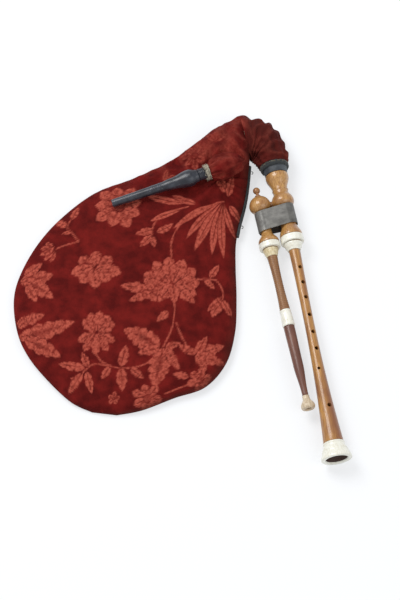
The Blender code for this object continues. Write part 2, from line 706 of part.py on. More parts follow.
def make_neck_end(axes):
    """What ends the neck at the stock: the tie, the leather collar and the velvet's hem tape."""
    bore = CUP_SEAT_RADIUS + CLEARANCE
    outer = bore + COLLAR_THICKNESS
    collar = [(outer + COLLAR_FLARE, COLLAR_START), (outer + COLLAR_FLARE, HEM_END), (outer, COLLAR_END)]
    inside = [(bore, COLLAR_END), (bore, CUP_START), (bore, COLLAR_START)]
    turned("leather_collar", [*collar, *inside], "grey_leather", axes["stock"], WIDE_FACETS)
    hem = ring_outline(HEM_START, HEM_END - HEM_START, HEM_RADIUS)
    hem_bore = outer + COLLAR_FLARE + CLEARANCE
    sleeve("neck_hem_tape", hem, hem_bore, "black_tape", axes["stock"], WIDE_FACETS)
    tie_bore = STOCK_SKIN_RADIUS + CLEARANCE
    tie = ring_outline(NECK_TIE_PLACE - 0.5 * NECK_TIE_LENGTH, NECK_TIE_LENGTH, tie_bore + NECK_TIE_THICKNESS, 0.5)
    sleeve("neck_tie", tie, tie_bore, "waxed_thread", axes["stock"])


def chanter_radius(place):
    """The chanter's outer form: it narrows from its top to a waist and then spreads towards the bell."""
    bell_start = CHANTER_LENGTH - BELL_LENGTH
    if place < CHANTER_WAIST_PLACE:
        share = 1.0 - place / CHANTER_WAIST_PLACE
        return CHANTER_WAIST_RADIUS + (CHANTER_TOP_RADIUS - CHANTER_WAIST_RADIUS) * share * share
    share = (place - CHANTER_WAIST_PLACE) / (bell_start - CHANTER_WAIST_PLACE)
    return CHANTER_WAIST_RADIUS + (CHANTER_BELL_RADIUS - CHANTER_WAIST_RADIUS) * share**CHANTER_FLARE_POWER


def chanter_bore():
    """The bore from the bell's end up to the reed seat."""
    wood_end = CHANTER_LENGTH - BELL_LENGTH + BELL_SEAT_LENGTH
    flare_start = wood_end - BELL_FLARE_LENGTH
    seat_end = REED_SEAT_DEPTH - CHANTER_TENON_LENGTH
    flare = ease(CHANTER_BORE_END, BELL_WOOD_MOUTH, flare_start, wood_end, 5)
    return [
        *reversed(flare),
        (CHANTER_BORE_TOP, seat_end),
        (REED_SEAT_RADIUS, seat_end),
        (REED_SEAT_RADIUS, -CHANTER_TENON_LENGTH),
    ]


def make_chanter_tube(axes):
    """The wooden tube: lapped tenon, seat of the collar, finger holes and flared bore."""
    collar_end = COLLAR_GAP + CHANTER_COLLAR_LENGTH + CLEARANCE
    bell_start = CHANTER_LENGTH - BELL_LENGTH
    wood_end = bell_start + BELL_SEAT_LENGTH
    steps = 9
    body = []
    for step in range(steps + 1):
        place = collar_end + (bell_start - CLEARANCE - collar_end) * step / steps
        body.append((chanter_radius(place), place))
    outline = [
        *tenon(CHANTER_TENON_RADIUS, -CHANTER_TENON_LENGTH, 0.0),
        (CHANTER_TENON_RADIUS, collar_end),
        *body,
        (BELL_SEAT_RADIUS, bell_start - CLEARANCE),
        (BELL_SEAT_RADIUS, wood_end),
        *chanter_bore(),
    ]
    tube = turned("chanter_tube", outline, "varnished_boxwood", axes["chanter"], TUBE_FACETS)
    cut(tube, hole_guides(axes["chanter"]))


def hole_guides(frame):
    """Guides of the finger holes, one body each: turned from the top of the lying chanter towards +X."""
    holes = [(place, HOLE_RADIUS, HOLE_TURN) for place in FRONT_HOLES]
    holes.append((LITTLE_HOLE_PLACE, LITTLE_HOLE_RADIUS, LITTLE_HOLE_TURN))
    holes.append((TUNING_HOLE_PLACE, TUNING_HOLE_RADIUS, HOLE_TURN))
    holes.append((THUMB_HOLE_PLACE, HOLE_RADIUS, HOLE_TURN + 180.0))
    build = bmesh.new()
    for place, radius, turn in holes:
        length = chanter_radius(place) + 3.0
        pose = (
            Matrix.Translation((0.0, 0.0, place))
            @ Matrix.Rotation(math.radians(-turn), 4, "Z")
            @ Matrix.Rotation(math.radians(-90.0), 4, "X")
            @ Matrix.Translation((0.0, 0.0, 0.5 * length))
        )
        bmesh.ops.create_cone(
            build, cap_ends=True, segments=HOLE_FACETS, radius1=radius, radius2=radius, depth=length, matrix=pose
        )
    return as_guide(mesh_from(build, "finger_hole_guides", "bone", frame, smooth=False))


def make_chanter_fittings(axes):
    """The collar below the socket, the thread on the tenon and the ferrule round the bell."""
    start = COLLAR_GAP
    end = COLLAR_GAP + CHANTER_COLLAR_LENGTH
    collar = [
        (CHANTER_COLLAR_RADIUS - 0.6, start),
        (CHANTER_COLLAR_RADIUS, start + 0.8),
        (CHANTER_COLLAR_RADIUS, start + 3.0),
        (CHANTER_COLLAR_RADIUS - 0.9, start + 3.8),
        *ease(CHANTER_COLLAR_RADIUS - 1.2, CHANTER_COLLAR_FOOT, start + 4.2, end - 0.6, 4),
        (CHANTER_COLLAR_FOOT - 0.4, end),
    ]
    frame = axes["chanter"]
    sleeve("chanter_collar", collar, CHANTER_TENON_RADIUS + CLEARANCE, "bone", frame, WIDE_FACETS)
    lap_start, lap_end = lapping_ends(-CHANTER_TENON_LENGTH, 0.0)
    lapping("chanter_lapping", CHANTER_TENON_RADIUS, lap_start, lap_end, frame)
    make_bell_ferrule(frame)


def make_bell_ferrule(frame):
    """The ringed ferrule of the bell, whose rim stands proud round a wide mouth."""
    start = CHANTER_LENGTH - BELL_LENGTH
    bore = BELL_SEAT_RADIUS + CLEARANCE
    seat_end = start + BELL_SEAT_LENGTH + CLEARANCE
    neck = CHANTER_BELL_RADIUS
    step_place = start + 0.44 * BELL_LENGTH
    outline = [
        (neck + 0.3, start),
        (neck + 1.3, start + 1.2),
        (neck + 1.3, start + 2.8),
        (neck + 0.7, start + 3.6),
        *ease(neck + 0.8, neck + 3.4, start + 4.0, step_place, 3),
        (neck + 2.9, step_place + 0.7),
        (neck + 4.4, step_place + 1.5),
        *ease(neck + 4.6, BELL_RIM_RADIUS, step_place + 2.0, CHANTER_LENGTH - 1.6, 4),
        (BELL_RIM_RADIUS - 0.7, CHANTER_LENGTH),
        (BELL_MOUTH_RADIUS, CHANTER_LENGTH),
        (BELL_MOUTH_RADIUS - 1.0, CHANTER_LENGTH - 1.8),
        (bore, seat_end),
        (bore, start),
    ]
    turned("bell_ferrule", outline, "bone", frame, WIDE_FACETS)


def make_chanter_reed(axes):
    """The double reed on its staple, inside the main barrel."""
    frame = axes["chanter"]
    seat = REED_SEAT_DEPTH - CHANTER_TENON_LENGTH
    foot = seat - CLEARANCE
    top = foot - STAPLE_LENGTH
    staple = [(STAPLE_TOP_RADIUS, top), (REED_SEAT_RADIUS - CLEARANCE, foot)]
    sleeve("chanter_reed_staple", staple, STAPLE_BORE, "brass", frame, SMALL_FACETS)
    blade_base = top + BLADE_OVERLAP
    blade_tip = blade_base - BLADE_LENGTH
    inner = STAPLE_TOP_RADIUS + CLEARANCE + 0.1
    for name, side in (("chanter_reed_blade_front", 1.0), ("chanter_reed_blade_back", -1.0)):
        make_blade(name, side, blade_base, blade_tip, inner, frame)
    corner = math.hypot(inner + BLADE_THICKNESS, 0.5 * BLADE_BASE_WIDTH)
    binding_bore = corner + CLEARANCE
    binding = [
        (binding_bore + REED_BINDING_THICKNESS, blade_base + 0.5 - REED_BINDING_LENGTH + BLADE_OVERLAP),
        (binding_bore + REED_BINDING_THICKNESS, blade_base + 0.5),
    ]
    sleeve("chanter_reed_binding", binding, binding_bore, "waxed_thread", frame, SMALL_FACETS)


def make_blade(name, side, base, tip, inner, frame):
    """One cane blade: narrow beside the staple, broad and nearly shut at its tip."""
    sections = (
        (base, 0.5 * BLADE_BASE_WIDTH, inner),
        (base - BLADE_OVERLAP, 0.5 * BLADE_BASE_WIDTH, inner),
        (tip, 0.5 * BLADE_TIP_WIDTH, 0.5 * BLADE_TIP_GAP),
    )
    build = bmesh.new()
    rings = []
    for place, half_width, height in sections:
        low = side * height
        high = side * (height + BLADE_THICKNESS)
        corners = ((-half_width, low), (half_width, low), (half_width, high), (-half_width, high))
        rings.append([build.verts.new((x, y, place)) for x, y in corners])
    skin_rings(build, rings)
    build.faces.new(rings[0])
    build.faces.new(rings[-1])
    mesh_from(build, name, "cane", frame, smooth=False)


def skin_rings(build, rings):
    """Faces between each ring of points and the next."""
    for ring, after in zip(rings, rings[1:]):
        for index in range(len(ring)):
            following = (index + 1) % len(ring)
            build.faces.new((ring[index], ring[following], after[following], after[index]))


def make_drone_upper(axes):
    """The drone's upper joint: lapped tenon, ringed tube and the slide that tunes it."""
    frame = axes["drone"]
    collar_start = 2.0 * CLEARANCE
    collar_end = collar_start + DRONE_COLLAR_LENGTH
    body_start = collar_end + CLEARANCE
    end = DRONE_UPPER_LENGTH - CLEARANCE
    middle = 0.5 * (body_start + end)
    outline = [
        *tenon(DRONE_PLUG_RADIUS, -DRONE_TENON_LENGTH, 0.0),
        (DRONE_PLUG_RADIUS, body_start),
        (DRONE_TOP_RADIUS, body_start),
    ]
    first_ring = middle - 0.5 * RING_SPACING * (RING_COUNT - 1)
    for index in range(RING_COUNT):
        place = first_ring + index * RING_SPACING
        radius = drone_upper_radius(place, body_start, end)
        outline.append((radius, place - 1.6))
        outline.append((radius + RING_HEIGHT, place))
        outline.append((radius, place + 1.6))
    slide_end = end + SLIDE_LENGTH
    outline.append((DRONE_TOP_RADIUS - CLEARANCE, end))
    outline.extend(tenon(SLIDE_RADIUS, end, slide_end))
    outline.append((DRONE_BORE, slide_end))
    outline.append((DRONE_BORE, DRONE_REED_SEAT - DRONE_TENON_LENGTH))
    outline.append((DRONE_REED_RADIUS + CLEARANCE, DRONE_REED_SEAT - DRONE_TENON_LENGTH))
    outline.append((DRONE_REED_RADIUS + CLEARANCE, -DRONE_TENON_LENGTH))
    turned("drone_upper_joint", outline, "brown_fruitwood", frame)
    collar = [
        (DRONE_COLLAR_RADIUS - 0.5, collar_start),
        (DRONE_COLLAR_RADIUS, collar_start + 0.7),
        (DRONE_COLLAR_RADIUS - 0.2, collar_start + 3.0),
        (DRONE_COLLAR_RADIUS - 0.9, collar_start + 3.6),
        *ease(DRONE_COLLAR_RADIUS - 1.0, DRONE_COLLAR_FOOT, collar_start + 4.0, collar_end, 3),
    ]
    sleeve("drone_collar", collar, DRONE_PLUG_RADIUS + CLEARANCE, "bone", frame)
    lap_start, lap_end = lapping_ends(-DRONE_TENON_LENGTH, 0.0)
    lapping("drone_lapping", DRONE_PLUG_RADIUS, lap_start, lap_end, frame)
    slide_start, slide_stop = lapping_ends(end, slide_end)
    lapping("drone_slide_lapping", SLIDE_RADIUS, slide_start, slide_stop, frame)


def drone_upper_radius(place, first, last):
    """The upper joint is slimmest halfway between its collar and the middle ferrule."""
    share = 2.0 * (place - first) / (last - first) - 1.0
    return DRONE_WAIST_RADIUS + (DRONE_TOP_RADIUS - DRONE_WAIST_RADIUS) * share * share


def make_drone_lower(axes):
    """The drone's lower joint: the socket of the slide under its ferrule, the long tube and the horn foot."""
    frame = axes["drone"]
    start = DRONE_UPPER_LENGTH
    ferrule_end = start + MID_FERRULE_LENGTH
    tube_end = ferrule_end + DRONE_LOWER_LENGTH
    swell_place = ferrule_end + DRONE_SWELL_LENGTH
    seat_radius = SLIDE_SOCKET_RADIUS + SLIDE_WALL
    socket_end = start + SLIDE_LENGTH + 2.0
    mouth_end = tube_end + FOOT_TENON_LENGTH
    outline = [
        (seat_radius, start),
        (seat_radius, ferrule_end + CLEARANCE),
        (DRONE_LOWER_RADIUS, ferrule_end + CLEARANCE),
        *ease(DRONE_LOWER_RADIUS, DRONE_SWELL_RADIUS, ferrule_end + 4.0, swell_place, 3),
        *ease(DRONE_SWELL_RADIUS, DRONE_END_RADIUS, swell_place + 2.0, tube_end - 4.0, 6),
        (DRONE_END_RADIUS, tube_end - CLEARANCE),
        (FOOT_TENON_RADIUS, tube_end - CLEARANCE),
        (FOOT_TENON_RADIUS, mouth_end),
        (DRONE_BORE, mouth_end),
        (DRONE_BORE, socket_end),
        (SLIDE_SOCKET_RADIUS, socket_end),
        (SLIDE_SOCKET_RADIUS, start),
    ]
    turned("drone_lower_joint", outline, "reddish_wood", frame)
    bore = seat_radius + CLEARANCE
    ferrule = [
        (MID_FERRULE_TOP, start),
        (MID_FERRULE_TOP + 0.7, start + 1.2),
        (MID_FERRULE_TOP + 0.7, start + 2.8),
        (MID_FERRULE_TOP + 0.1, start + 3.6),
        (MID_FERRULE_TOP + 0.6, start + 5.0),
        *ease(MID_FERRULE_TOP + 0.8, MID_FERRULE_RADIUS - 0.3, start + 8.0, ferrule_end - 5.0, 3),
        (MID_FERRULE_RADIUS - 0.8, ferrule_end - 4.0),
        (MID_FERRULE_RADIUS, ferrule_end - 2.8),
        (MID_FERRULE_RADIUS - 0.5, ferrule_end),
    ]
    sleeve("drone_middle_ferrule", ferrule, bore, "bone", frame)
    make_drone_foot(frame, tube_end)


def make_drone_foot(frame, start):
    """The flared horn foot, hollow at its mouth."""
    end = start + FOOT_LENGTH
    seat = FOOT_TENON_RADIUS + CLEARANCE
    seat_end = start + FOOT_TENON_LENGTH + CLEARANCE
    mouth_start = end - FOOT_MOUTH_DEPTH
    outline = [
        (DRONE_END_RADIUS, start),
        (DRONE_END_RADIUS + 0.9, start + 1.2),
        (DRONE_END_RADIUS + 0.5, start + 2.4),
        *ease(DRONE_END_RADIUS + 0.6, FOOT_RIM_RADIUS, start + 4.0, end - 5.0, 5),
        (FOOT_RIM_RADIUS, end - 3.2),
        (FOOT_RIM_RADIUS - 1.6, end),
        (FOOT_MOUTH_RADIUS, end),
        (FOOT_MOUTH_RADIUS, mouth_start),
        (DRONE_BORE, mouth_start),
        (DRONE_BORE, seat_end),
        (seat, seat_end),
        (seat, start),
    ]
    turned("drone_foot", outline, "horn", frame)


def make_drone_reed(axes):
    """The single reed of the drone: a cane tube, its tongue and the thread that holds the tongue."""
    frame = axes["drone"]
    foot = DRONE_REED_SEAT - DRONE_TENON_LENGTH - CLEARANCE
    top = foot - DRONE_REED_LENGTH
    outline = [
        (0.0, top),
        (DRONE_REED_RADIUS, top),
        (DRONE_REED_RADIUS, foot),
        (DRONE_REED_BORE, foot),
        (DRONE_REED_BORE, top + 4.0),
        (0.0, top + 4.0),
    ]
    tube = turned("drone_reed_tube", outline, "cane", frame, SMALL_FACETS)
    flat = DRONE_REED_RADIUS - TONGUE_FLAT_DEPTH
    tongue_top = top + 5.0
    tongue_base = tongue_top + TONGUE_LENGTH
    slot = (TONGUE_WIDTH, TONGUE_LENGTH + 2.0 * CLEARANCE, 0.5 * (tongue_top + tongue_base))
    cut(tube, box_guide("tongue_slot_guide", slot[0] + 2.0 * CLEARANCE, flat, 4.0, slot[1], slot[2], frame))
    build = bmesh.new()
    size = (TONGUE_WIDTH, TONGUE_THICKNESS, TONGUE_LENGTH)
    centre = (0.0, flat + CLEARANCE + 0.5 * TONGUE_THICKNESS, slot[2])
    bmesh.ops.create_cube(build, size=1.0, matrix=Matrix.LocRotScale(centre, None, size))
    mesh_from(build, "drone_reed_tongue", "cane", frame, smooth=False)
    bridle_bore = DRONE_REED_RADIUS + CLEARANCE
    bridle_end = tongue_base - 1.0
    bridle = [
        (bridle_bore + 0.7, bridle_end - BRIDLE_LENGTH),
        (bridle_bore + 0.7, bridle_end),
    ]
    sleeve("drone_reed_bridle", bridle, bridle_bore, "waxed_thread", frame, SMALL_FACETS)


def box_guide(name, width, low, high, length, middle, frame):
    """A guide for a flat-bottomed slot above a turned piece's axis."""
    build = bmesh.new()
    centre = (0.0, 0.5 * (low + high), middle)
    bmesh.ops.create_cube(build, size=1.0, matrix=Matrix.LocRotScale(centre, None, (width, high - low, length)))
    return as_guide(mesh_from(build, name, "bone", frame, smooth=False))


def make_inlet_pipe(axes):
    """The black pipe that air comes in by: tenon, bulb, ringed taper and open tip."""
    rings = []
    for index in range(PIPE_RING_COUNT):
        place = PIPE_RINGS_PLACE + index * PIPE_RING_SPACING
        rings.append((PIPE_RINGS_RADIUS + PIPE_RING_HEIGHT, place))
        rings.append((PIPE_RINGS_RADIUS, place + 0.5 * PIPE_RING_SPACING))
    mouth_start = PIPE_LENGTH - PIPE_MOUTH_DEPTH
    outline = [
        *tenon(PIPE_TENON_RADIUS, -PIPE_TENON_LENGTH, 0.0),
        (PIPE_END_RADIUS - 0.8, 0.0),
        (PIPE_END_RADIUS, 0.8),
        *ease(PIPE_END_RADIUS + 0.2, PIPE_BULB_RADIUS, 2.0, PIPE_BULB_PLACE, 4),
        *ease(PIPE_BULB_RADIUS, PIPE_NECK_RADIUS, PIPE_BULB_PLACE + 4.0, PIPE_NECK_PLACE, 5),
        *rings,
        (PIPE_TIP_RADIUS + 0.1, PIPE_LENGTH - 1.0),
        (PIPE_TIP_RADIUS - 0.3, PIPE_LENGTH),
        (PIPE_MOUTH_RADIUS, PIPE_LENGTH),
        (PIPE_MOUTH_RADIUS, mouth_start),
        (PIPE_BORE, mouth_start),
        (PIPE_BORE, -PIPE_TENON_LENGTH),
    ]
    turned("inlet_pipe", outline, "black_wood", axes["inlet"])
    lap_start, lap_end = lapping_ends(-PIPE_TENON_LENGTH, 0.0)
    lapping("inlet_lapping", PIPE_TENON_RADIUS, lap_start, lap_end, axes["inlet"])


def make_inlet_stock(axes):
    """The stock tied into the bag for the inlet pipe, its binding cord and its leather valve."""
    frame = axes["inlet"]
    face = -CLEARANCE
    back = -INLET_STOCK_LENGTH
    socket_end = -PIPE_TENON_LENGTH - 2.0
    tie_end = -INLET_TIE_START - INLET_TIE_LENGTH
    ridges = []
    for place in (1.6, 3.8, 6.0, 8.2):
        ridges.append((INLET_STOCK_RADIUS, -place))
        ridges.append((INLET_STOCK_RADIUS - 0.5, -place - 1.1))
    outline = [
        (INLET_STOCK_RADIUS - 0.5, face),
        *ridges,
        (INLET_TIE_RADIUS, -INLET_TIE_START),
        (INLET_TIE_RADIUS, tie_end),
        (INLET_STOCK_BODY, tie_end - 0.4),
        (INLET_STOCK_BODY, back),
        (INLET_BORE, back),
        (INLET_BORE, socket_end),
        (PIPE_SOCKET_RADIUS, socket_end),
        (PIPE_SOCKET_RADIUS, face),
    ]
    turned("inlet_stock", outline, "black_wood", frame)
    make_inlet_binding(frame)
    make_valve(frame, back)


def make_inlet_binding(frame):
    """The cord that ties skin and velvet to the inlet stock, one unbroken winding."""
    curve = bpy.data.curves.new("inlet_binding", "CURVE")
    curve.dimensions = "3D"
    curve.bevel_depth = BINDING_CORD_RADIUS * MM
    curve.bevel_resolution = 1
    curve.use_fill_caps = True
    count = BINDING_TURNS * BINDING_POINTS_PER_TURN + 1
    spline = curve.splines.new("POLY")
    spline.points.add(count - 1)
    middle = -INLET_TIE_START - 0.5 * INLET_TIE_LENGTH
    places = []
    for index in range(count):
        turns = index / BINDING_POINTS_PER_TURN
        angle = math.tau * turns
        place = middle + (turns - 0.5 * BINDING_TURNS) * BINDING_PITCH
        point = Vector((math.cos(angle) * BINDING_COIL_RADIUS, math.sin(angle) * BINDING_COIL_RADIUS, place))
        places.append(point)
        spline.points[index].co = (*(point * MM), 1.0)
    least = min(
        (places[index] - places[index + BINDING_POINTS_PER_TURN]).length
        for index in range(count - BINDING_POINTS_PER_TURN)
    )
    print(f"inlet_binding: least gap to itself {least - 2.0 * BINDING_CORD_RADIUS:.2f} mm")
    add_object("inlet_binding", curve, "white_cord", frame)


def make_valve(frame, back):
    """The leather flap that lets air into the bag and not out, and the strip that holds it."""
    build = bmesh.new()
    rim = []
    steps = 18
    reach = math.asin(0.5 * VALVE_TAB_WIDTH / VALVE_RADIUS)
    for step in range(steps + 1):
        angle = 0.5 * math.pi + reach + (math.tau - 2.0 * reach) * step / steps
        rim.append(Vector((VALVE_RADIUS * math.cos(angle), VALVE_RADIUS * math.sin(angle), 0.0)))
    rim.append(Vector((0.5 * VALVE_TAB_WIDTH, VALVE_HINGE_HEIGHT, 0.0)))
    rim.append(Vector((-0.5 * VALVE_TAB_WIDTH, VALVE_HINGE_HEIGHT, 0.0)))
    hinge_place = back - CLEARANCE - 0.5 * VALVE_THICKNESS
    hinge = axis_frame("valve_hinge", (0.0, VALVE_HINGE_HEIGHT, hinge_place), (1.0, 0.0, 0.0, 0.0), frame)
    low = -0.5 * VALVE_THICKNESS
    base = [build.verts.new((point.x, point.y - VALVE_HINGE_HEIGHT, low)) for point in rim]
    face = build.faces.new(base)
    lifted = bmesh.ops.extrude_face_region(build, geom=[face])
    verts = [item for item in lifted["geom"] if isinstance(item, bmesh.types.BMVert)]
    bmesh.ops.translate(build, verts=verts, vec=(0.0, 0.0, VALVE_THICKNESS))
    mesh_from(build, "valve_flap", "grey_leather", hinge, smooth=False)
    build = bmesh.new()
    low_edge = VALVE_HINGE_HEIGHT + 0.5 * VALVE_THICKNESS + CLEARANCE
    centre = (0.0, low_edge + 0.5 * VALVE_KEEPER_HEIGHT, hinge_place)
    size = (VALVE_TAB_WIDTH, VALVE_KEEPER_HEIGHT, VALVE_THICKNESS)
    bmesh.ops.create_cube(build, size=1.0, matrix=Matrix.LocRotScale(centre, None, size))
    mesh_from(build, "valve_keeper", "grey_leather", frame, smooth=False)


def section_at(place):
    """The bag's section between two listed ones, on a smooth curve through them all."""
    rows = BAG_SECTIONS
    index = min(int(place), len(rows) - 2)
    share = place - index
    values = []
    for column in range(len(rows[0])):
        a, b, c, d = (rows[max(0, min(len(rows) - 1, index + step))][column] for step in (-1, 0, 1, 2))
        curve = (
            2.0 * b
            + (c - a) * share
            + (2.0 * a - 5.0 * b + 4.0 * c - d) * share**2
            + (3.0 * b - a - 3.0 * c + d) * share**3
        )
        values.append(0.5 * curve)
    return values


def ring_at(place, inset, shift=0.0):
    """Points round the bag at one section: this far inside the velvet's outer side, and moved towards the neck."""
    left_x, left_y, right_x, right_y, height, roundness = section_at(place)
    roundness = max(0.0, min(1.0, roundness))
    left = Vector((left_x, left_y, 0.0))
    right = Vector((right_x, right_y, 0.0))
    middle = 0.5 * (left + right)
    half = 0.5 * (right - left)
    width = half.length
    half = half * ((width - inset) / width)
    forward = Vector((-half.y, half.x, 0.0)).normalized()
    edge = height * (FLAT_EDGE_SHARE + (ROUND_EDGE_SHARE - FLAT_EDGE_SHARE) * roundness)
    floor = roundness * max(0.0, PIPE_HEIGHT - 0.5 * height)
    points = []
    for step in range(SECTION_FACETS):
        angle = math.tau * step / SECTION_FACETS
        rise = math.sin(angle)
        if rise >= 0.0:
            power = CROWN_POWER + (1.0 - CROWN_POWER) * roundness
            tall = edge + (height - edge) * rise**power
        else:
            flat = max(0.0, 1.0 + FLAT_FLOOR_STEEPNESS * rise)
            tall = edge * ((1.0 - roundness) * flat + roundness * (1.0 + rise))
        tall = floor + inset + tall * (height - 2.0 * inset) / height
        point = middle - half * math.cos(angle) + forward * shift
        points.append(Vector((point.x, point.y, tall)))
    return points


def bag_places(first, last):
    """Section places from first to last: whole ones on the body, and halves too from the inlet onwards."""
    places = [first]
    place = math.floor(first) + 1.0
    while place < last:
        places.append(place)
        place += 1.0 if place < FINE_SECTIONS_FROM else 0.5
    places.append(last)
    return places


def tube_of_rings(build, rings):
    """A closed skin over a row of rings, with a face at each end."""
    rings = [[build.verts.new(point) for point in ring] for ring in rings]
    skin_rings(build, rings)
    build.faces.new(rings[0])
    build.faces.new(rings[-1])


def bag_form(name, inset, material, overrun=0.0):
    """The bag's form this far inside its velvet; an overrun carries it on past the neck end."""
    last = float(NECK_SECTION)
    rings = []
    for place in bag_places(0.0, last):
        shift = inset if place == 0.0 else 0.0
        if place == last:
            shift = -0.5 * CLEARANCE
        rings.append(ring_at(place, inset, shift))
    if overrun > 0.0:
        rings.append(ring_at(last, inset, overrun))
    build = bmesh.new()
    tube_of_rings(build, rings)
    return mesh_from(build, name, material)


def leg_form(name, offset, start, frame):
    """The leg of the bag round the inlet stock, this far outside the skin there, from this place inwards."""
    outline = []
    for (radius, place), (after_radius, after_place) in zip(LEG_STATIONS, LEG_STATIONS[1:]):
        if place > start >= after_place:
            share = (place - start) / (place - after_place)
            outline.append((radius + (after_radius - radius) * share + offset, start))
        elif start >= place:
            outline.append((radius + offset, place))
    radius, place = LEG_STATIONS[-1]
    outline.append((radius + offset, place))
    if start > LEG_STATIONS[0][1]:
        outline.insert(0, (LEG_STATIONS[0][0] + offset, start))
    return as_guide(solid_of_turning(name, outline, "bone", frame))


def join(thing, guide):
    """The guide's shape added to the thing as one body."""
    union = thing.modifiers.new(guide.name, "BOOLEAN")
    union.operation = "UNION"
    union.solver = "EXACT"
    union.object = guide


def make_bag(axes):
    """The velvet cover and the skin inside it, each with the leg that the inlet stock is tied into."""
    frame = axes["inlet"]
    cover = bag_form("bag_cover", 0.0, "red_velvet")
    velvet_inside = LEG_GAP
    velvet_outside = LEG_GAP + VELVET_THICKNESS
    join(cover, leg_form("cover_leg_guide", velvet_outside, LEG_VELVET_START, frame))
    cover_hollow = as_guide(bag_form("cover_hollow_guide", VELVET_THICKNESS, "bone", OVERRUN))
    cover_start = LEG_VELVET_START + OVERRUN
    join(cover_hollow, leg_form("cover_leg_hollow_guide", velvet_inside, cover_start, frame))
    cut(cover, cover_hollow)
    skin = bag_form("bag_skin", SKIN_OUTSET, "goatskin")
    join(skin, leg_form("skin_leg_guide", 0.0, LEG_SKIN_START, frame))
    skin_hollow = as_guide(bag_form("skin_hollow_guide", SKIN_INSET, "bone", OVERRUN))
    skin_start = LEG_SKIN_START + OVERRUN
    join(skin_hollow, leg_form("skin_leg_hollow_guide", -LEG_SKIN_THICKNESS, skin_start, frame))
    cut(skin, skin_hollow)


def sleeve_of_rings(name, outer_rings, inner_rings, material):
    """A soft tube between two rows of rings, open at both ends."""
    build = bmesh.new()
    outer = [[build.verts.new(point) for point in ring] for ring in outer_rings]
    inner = [[build.verts.new(point) for point in ring] for ring in inner_rings]
    skin_rings(build, outer)
    skin_rings(build, inner)
    skin_rings(build, [outer[0], inner[0]])
    skin_rings(build, [outer[-1], inner[-1]])
    return mesh_from(build, name, material)


def neck_rings(last, inset):
    """Rings of the neck's bend from the bag's end, this far inside the velvet."""
    first = float(NECK_SECTION)
    rings = []
    for place in bag_places(first, last):
        shift = 0.5 * CLEARANCE if place == first else 0.0
        rings.append(ring_at(place, inset, shift))
    return rings


def stock_ring(place, radius):
    """A ring round the main stock's axis, with its points in the order of the bag's rings."""
    centre = Vector((STOCK_WAIST_X, STOCK_WAIST_Y, PIPE_HEIGHT)) + along(STOCK_TURN) * place
    across = Vector((math.cos(math.radians(STOCK_TURN)), math.sin(math.radians(STOCK_TURN)), 0.0))
    points = []
    for step in range(SECTION_FACETS):
        angle = math.tau * step / SECTION_FACETS
        points.append(centre + across * (radius * math.cos(angle)) + Vector((0.0, 0.0, radius * math.sin(angle))))
    return points


def make_neck():
    """The bend of the neck, in velvet and in skin; the stock swings where it folds."""
    velvet = [neck_rings(float(LAST_SECTION), inset) for inset in (0.0, VELVET_THICKNESS)]
    end = HEM_START - CLEARANCE
    velvet[0].append(stock_ring(end, HEM_RADIUS))
    velvet[1].append(stock_ring(end, HEM_RADIUS - VELVET_THICKNESS))
    sleeve_of_rings("neck_sleeve", *velvet, "red_velvet")
    skin = [neck_rings(SKIN_NECK_SECTION, inset) for inset in (SKIN_OUTSET, SKIN_INSET)]
    for place in (SPIGOT_START - 1.0, SKIN_NECK_END):
        skin[0].append(stock_ring(place, STOCK_SKIN_RADIUS))
        skin[1].append(stock_ring(place, STOCK_SKIN_RADIUS - SKIN_THICKNESS))
    sleeve_of_rings("skin_neck", *skin, "goatskin")


def edge_point(place):
    """The cover's right edge at a section, and the direction out of the bag there."""
    here = ring_at(place, 0.0)[SECTION_FACETS // 2]
    before = ring_at(place - 0.1, 0.0)[SECTION_FACETS // 2]
    after = ring_at(place + 0.1, 0.0)[SECTION_FACETS // 2]
    run = after - before
    return here, Vector((run.y, -run.x, 0.0)).normalized()


def make_closure_tape():
    """The black tape down the cover's right edge, where it is hooked shut."""
    build = bmesh.new()
    rings = []
    for place in bag_places(TAPE_FIRST_SECTION, TAPE_LAST_SECTION):
        here, out = edge_point(place)
        low = here.z - 0.5 * TAPE_WIDTH
        high = here.z + 0.5 * TAPE_WIDTH
        near = here + out * CLEARANCE
        far = here + out * (CLEARANCE + TAPE_THICKNESS)
        corners = ((near, low), (far, low), (far, high), (near, high))
        rings.append([build.verts.new((point.x, point.y, z)) for point, z in corners])
    skin_rings(build, rings)
    build.faces.new(rings[0])
    build.faces.new(rings[-1])
    mesh_from(build, "closure_tape", "black_tape")


def make_hook(name, place):
    """A small wire hook standing out of the tape."""
    here, out = edge_point(place)
    forward = Vector((-out.y, out.x, 0.0))
    seat = here + out * (2.0 * CLEARANCE + TAPE_THICKNESS + HOOK_WIRE_RADIUS)
    curve = bpy.data.curves.new(name, "CURVE")
    curve.dimensions = "3D"
    curve.bevel_depth = HOOK_WIRE_RADIUS * MM
    curve.bevel_resolution = 1
    curve.use_fill_caps = True
    steps = 9
    spline = curve.splines.new("POLY")
    spline.points.add(steps)
    for index in range(steps + 1):
        angle = math.radians(-90.0 + 200.0 * index / steps)
        point = seat + out * (HOOK_RADIUS * (1.0 + math.cos(angle)) * 0.9) + forward * (
            HOOK_RADIUS * math.sin(angle)
        )
        spline.points[index].co = (*(point * MM), 1.0)
    add_object(name, curve, "black_tape")


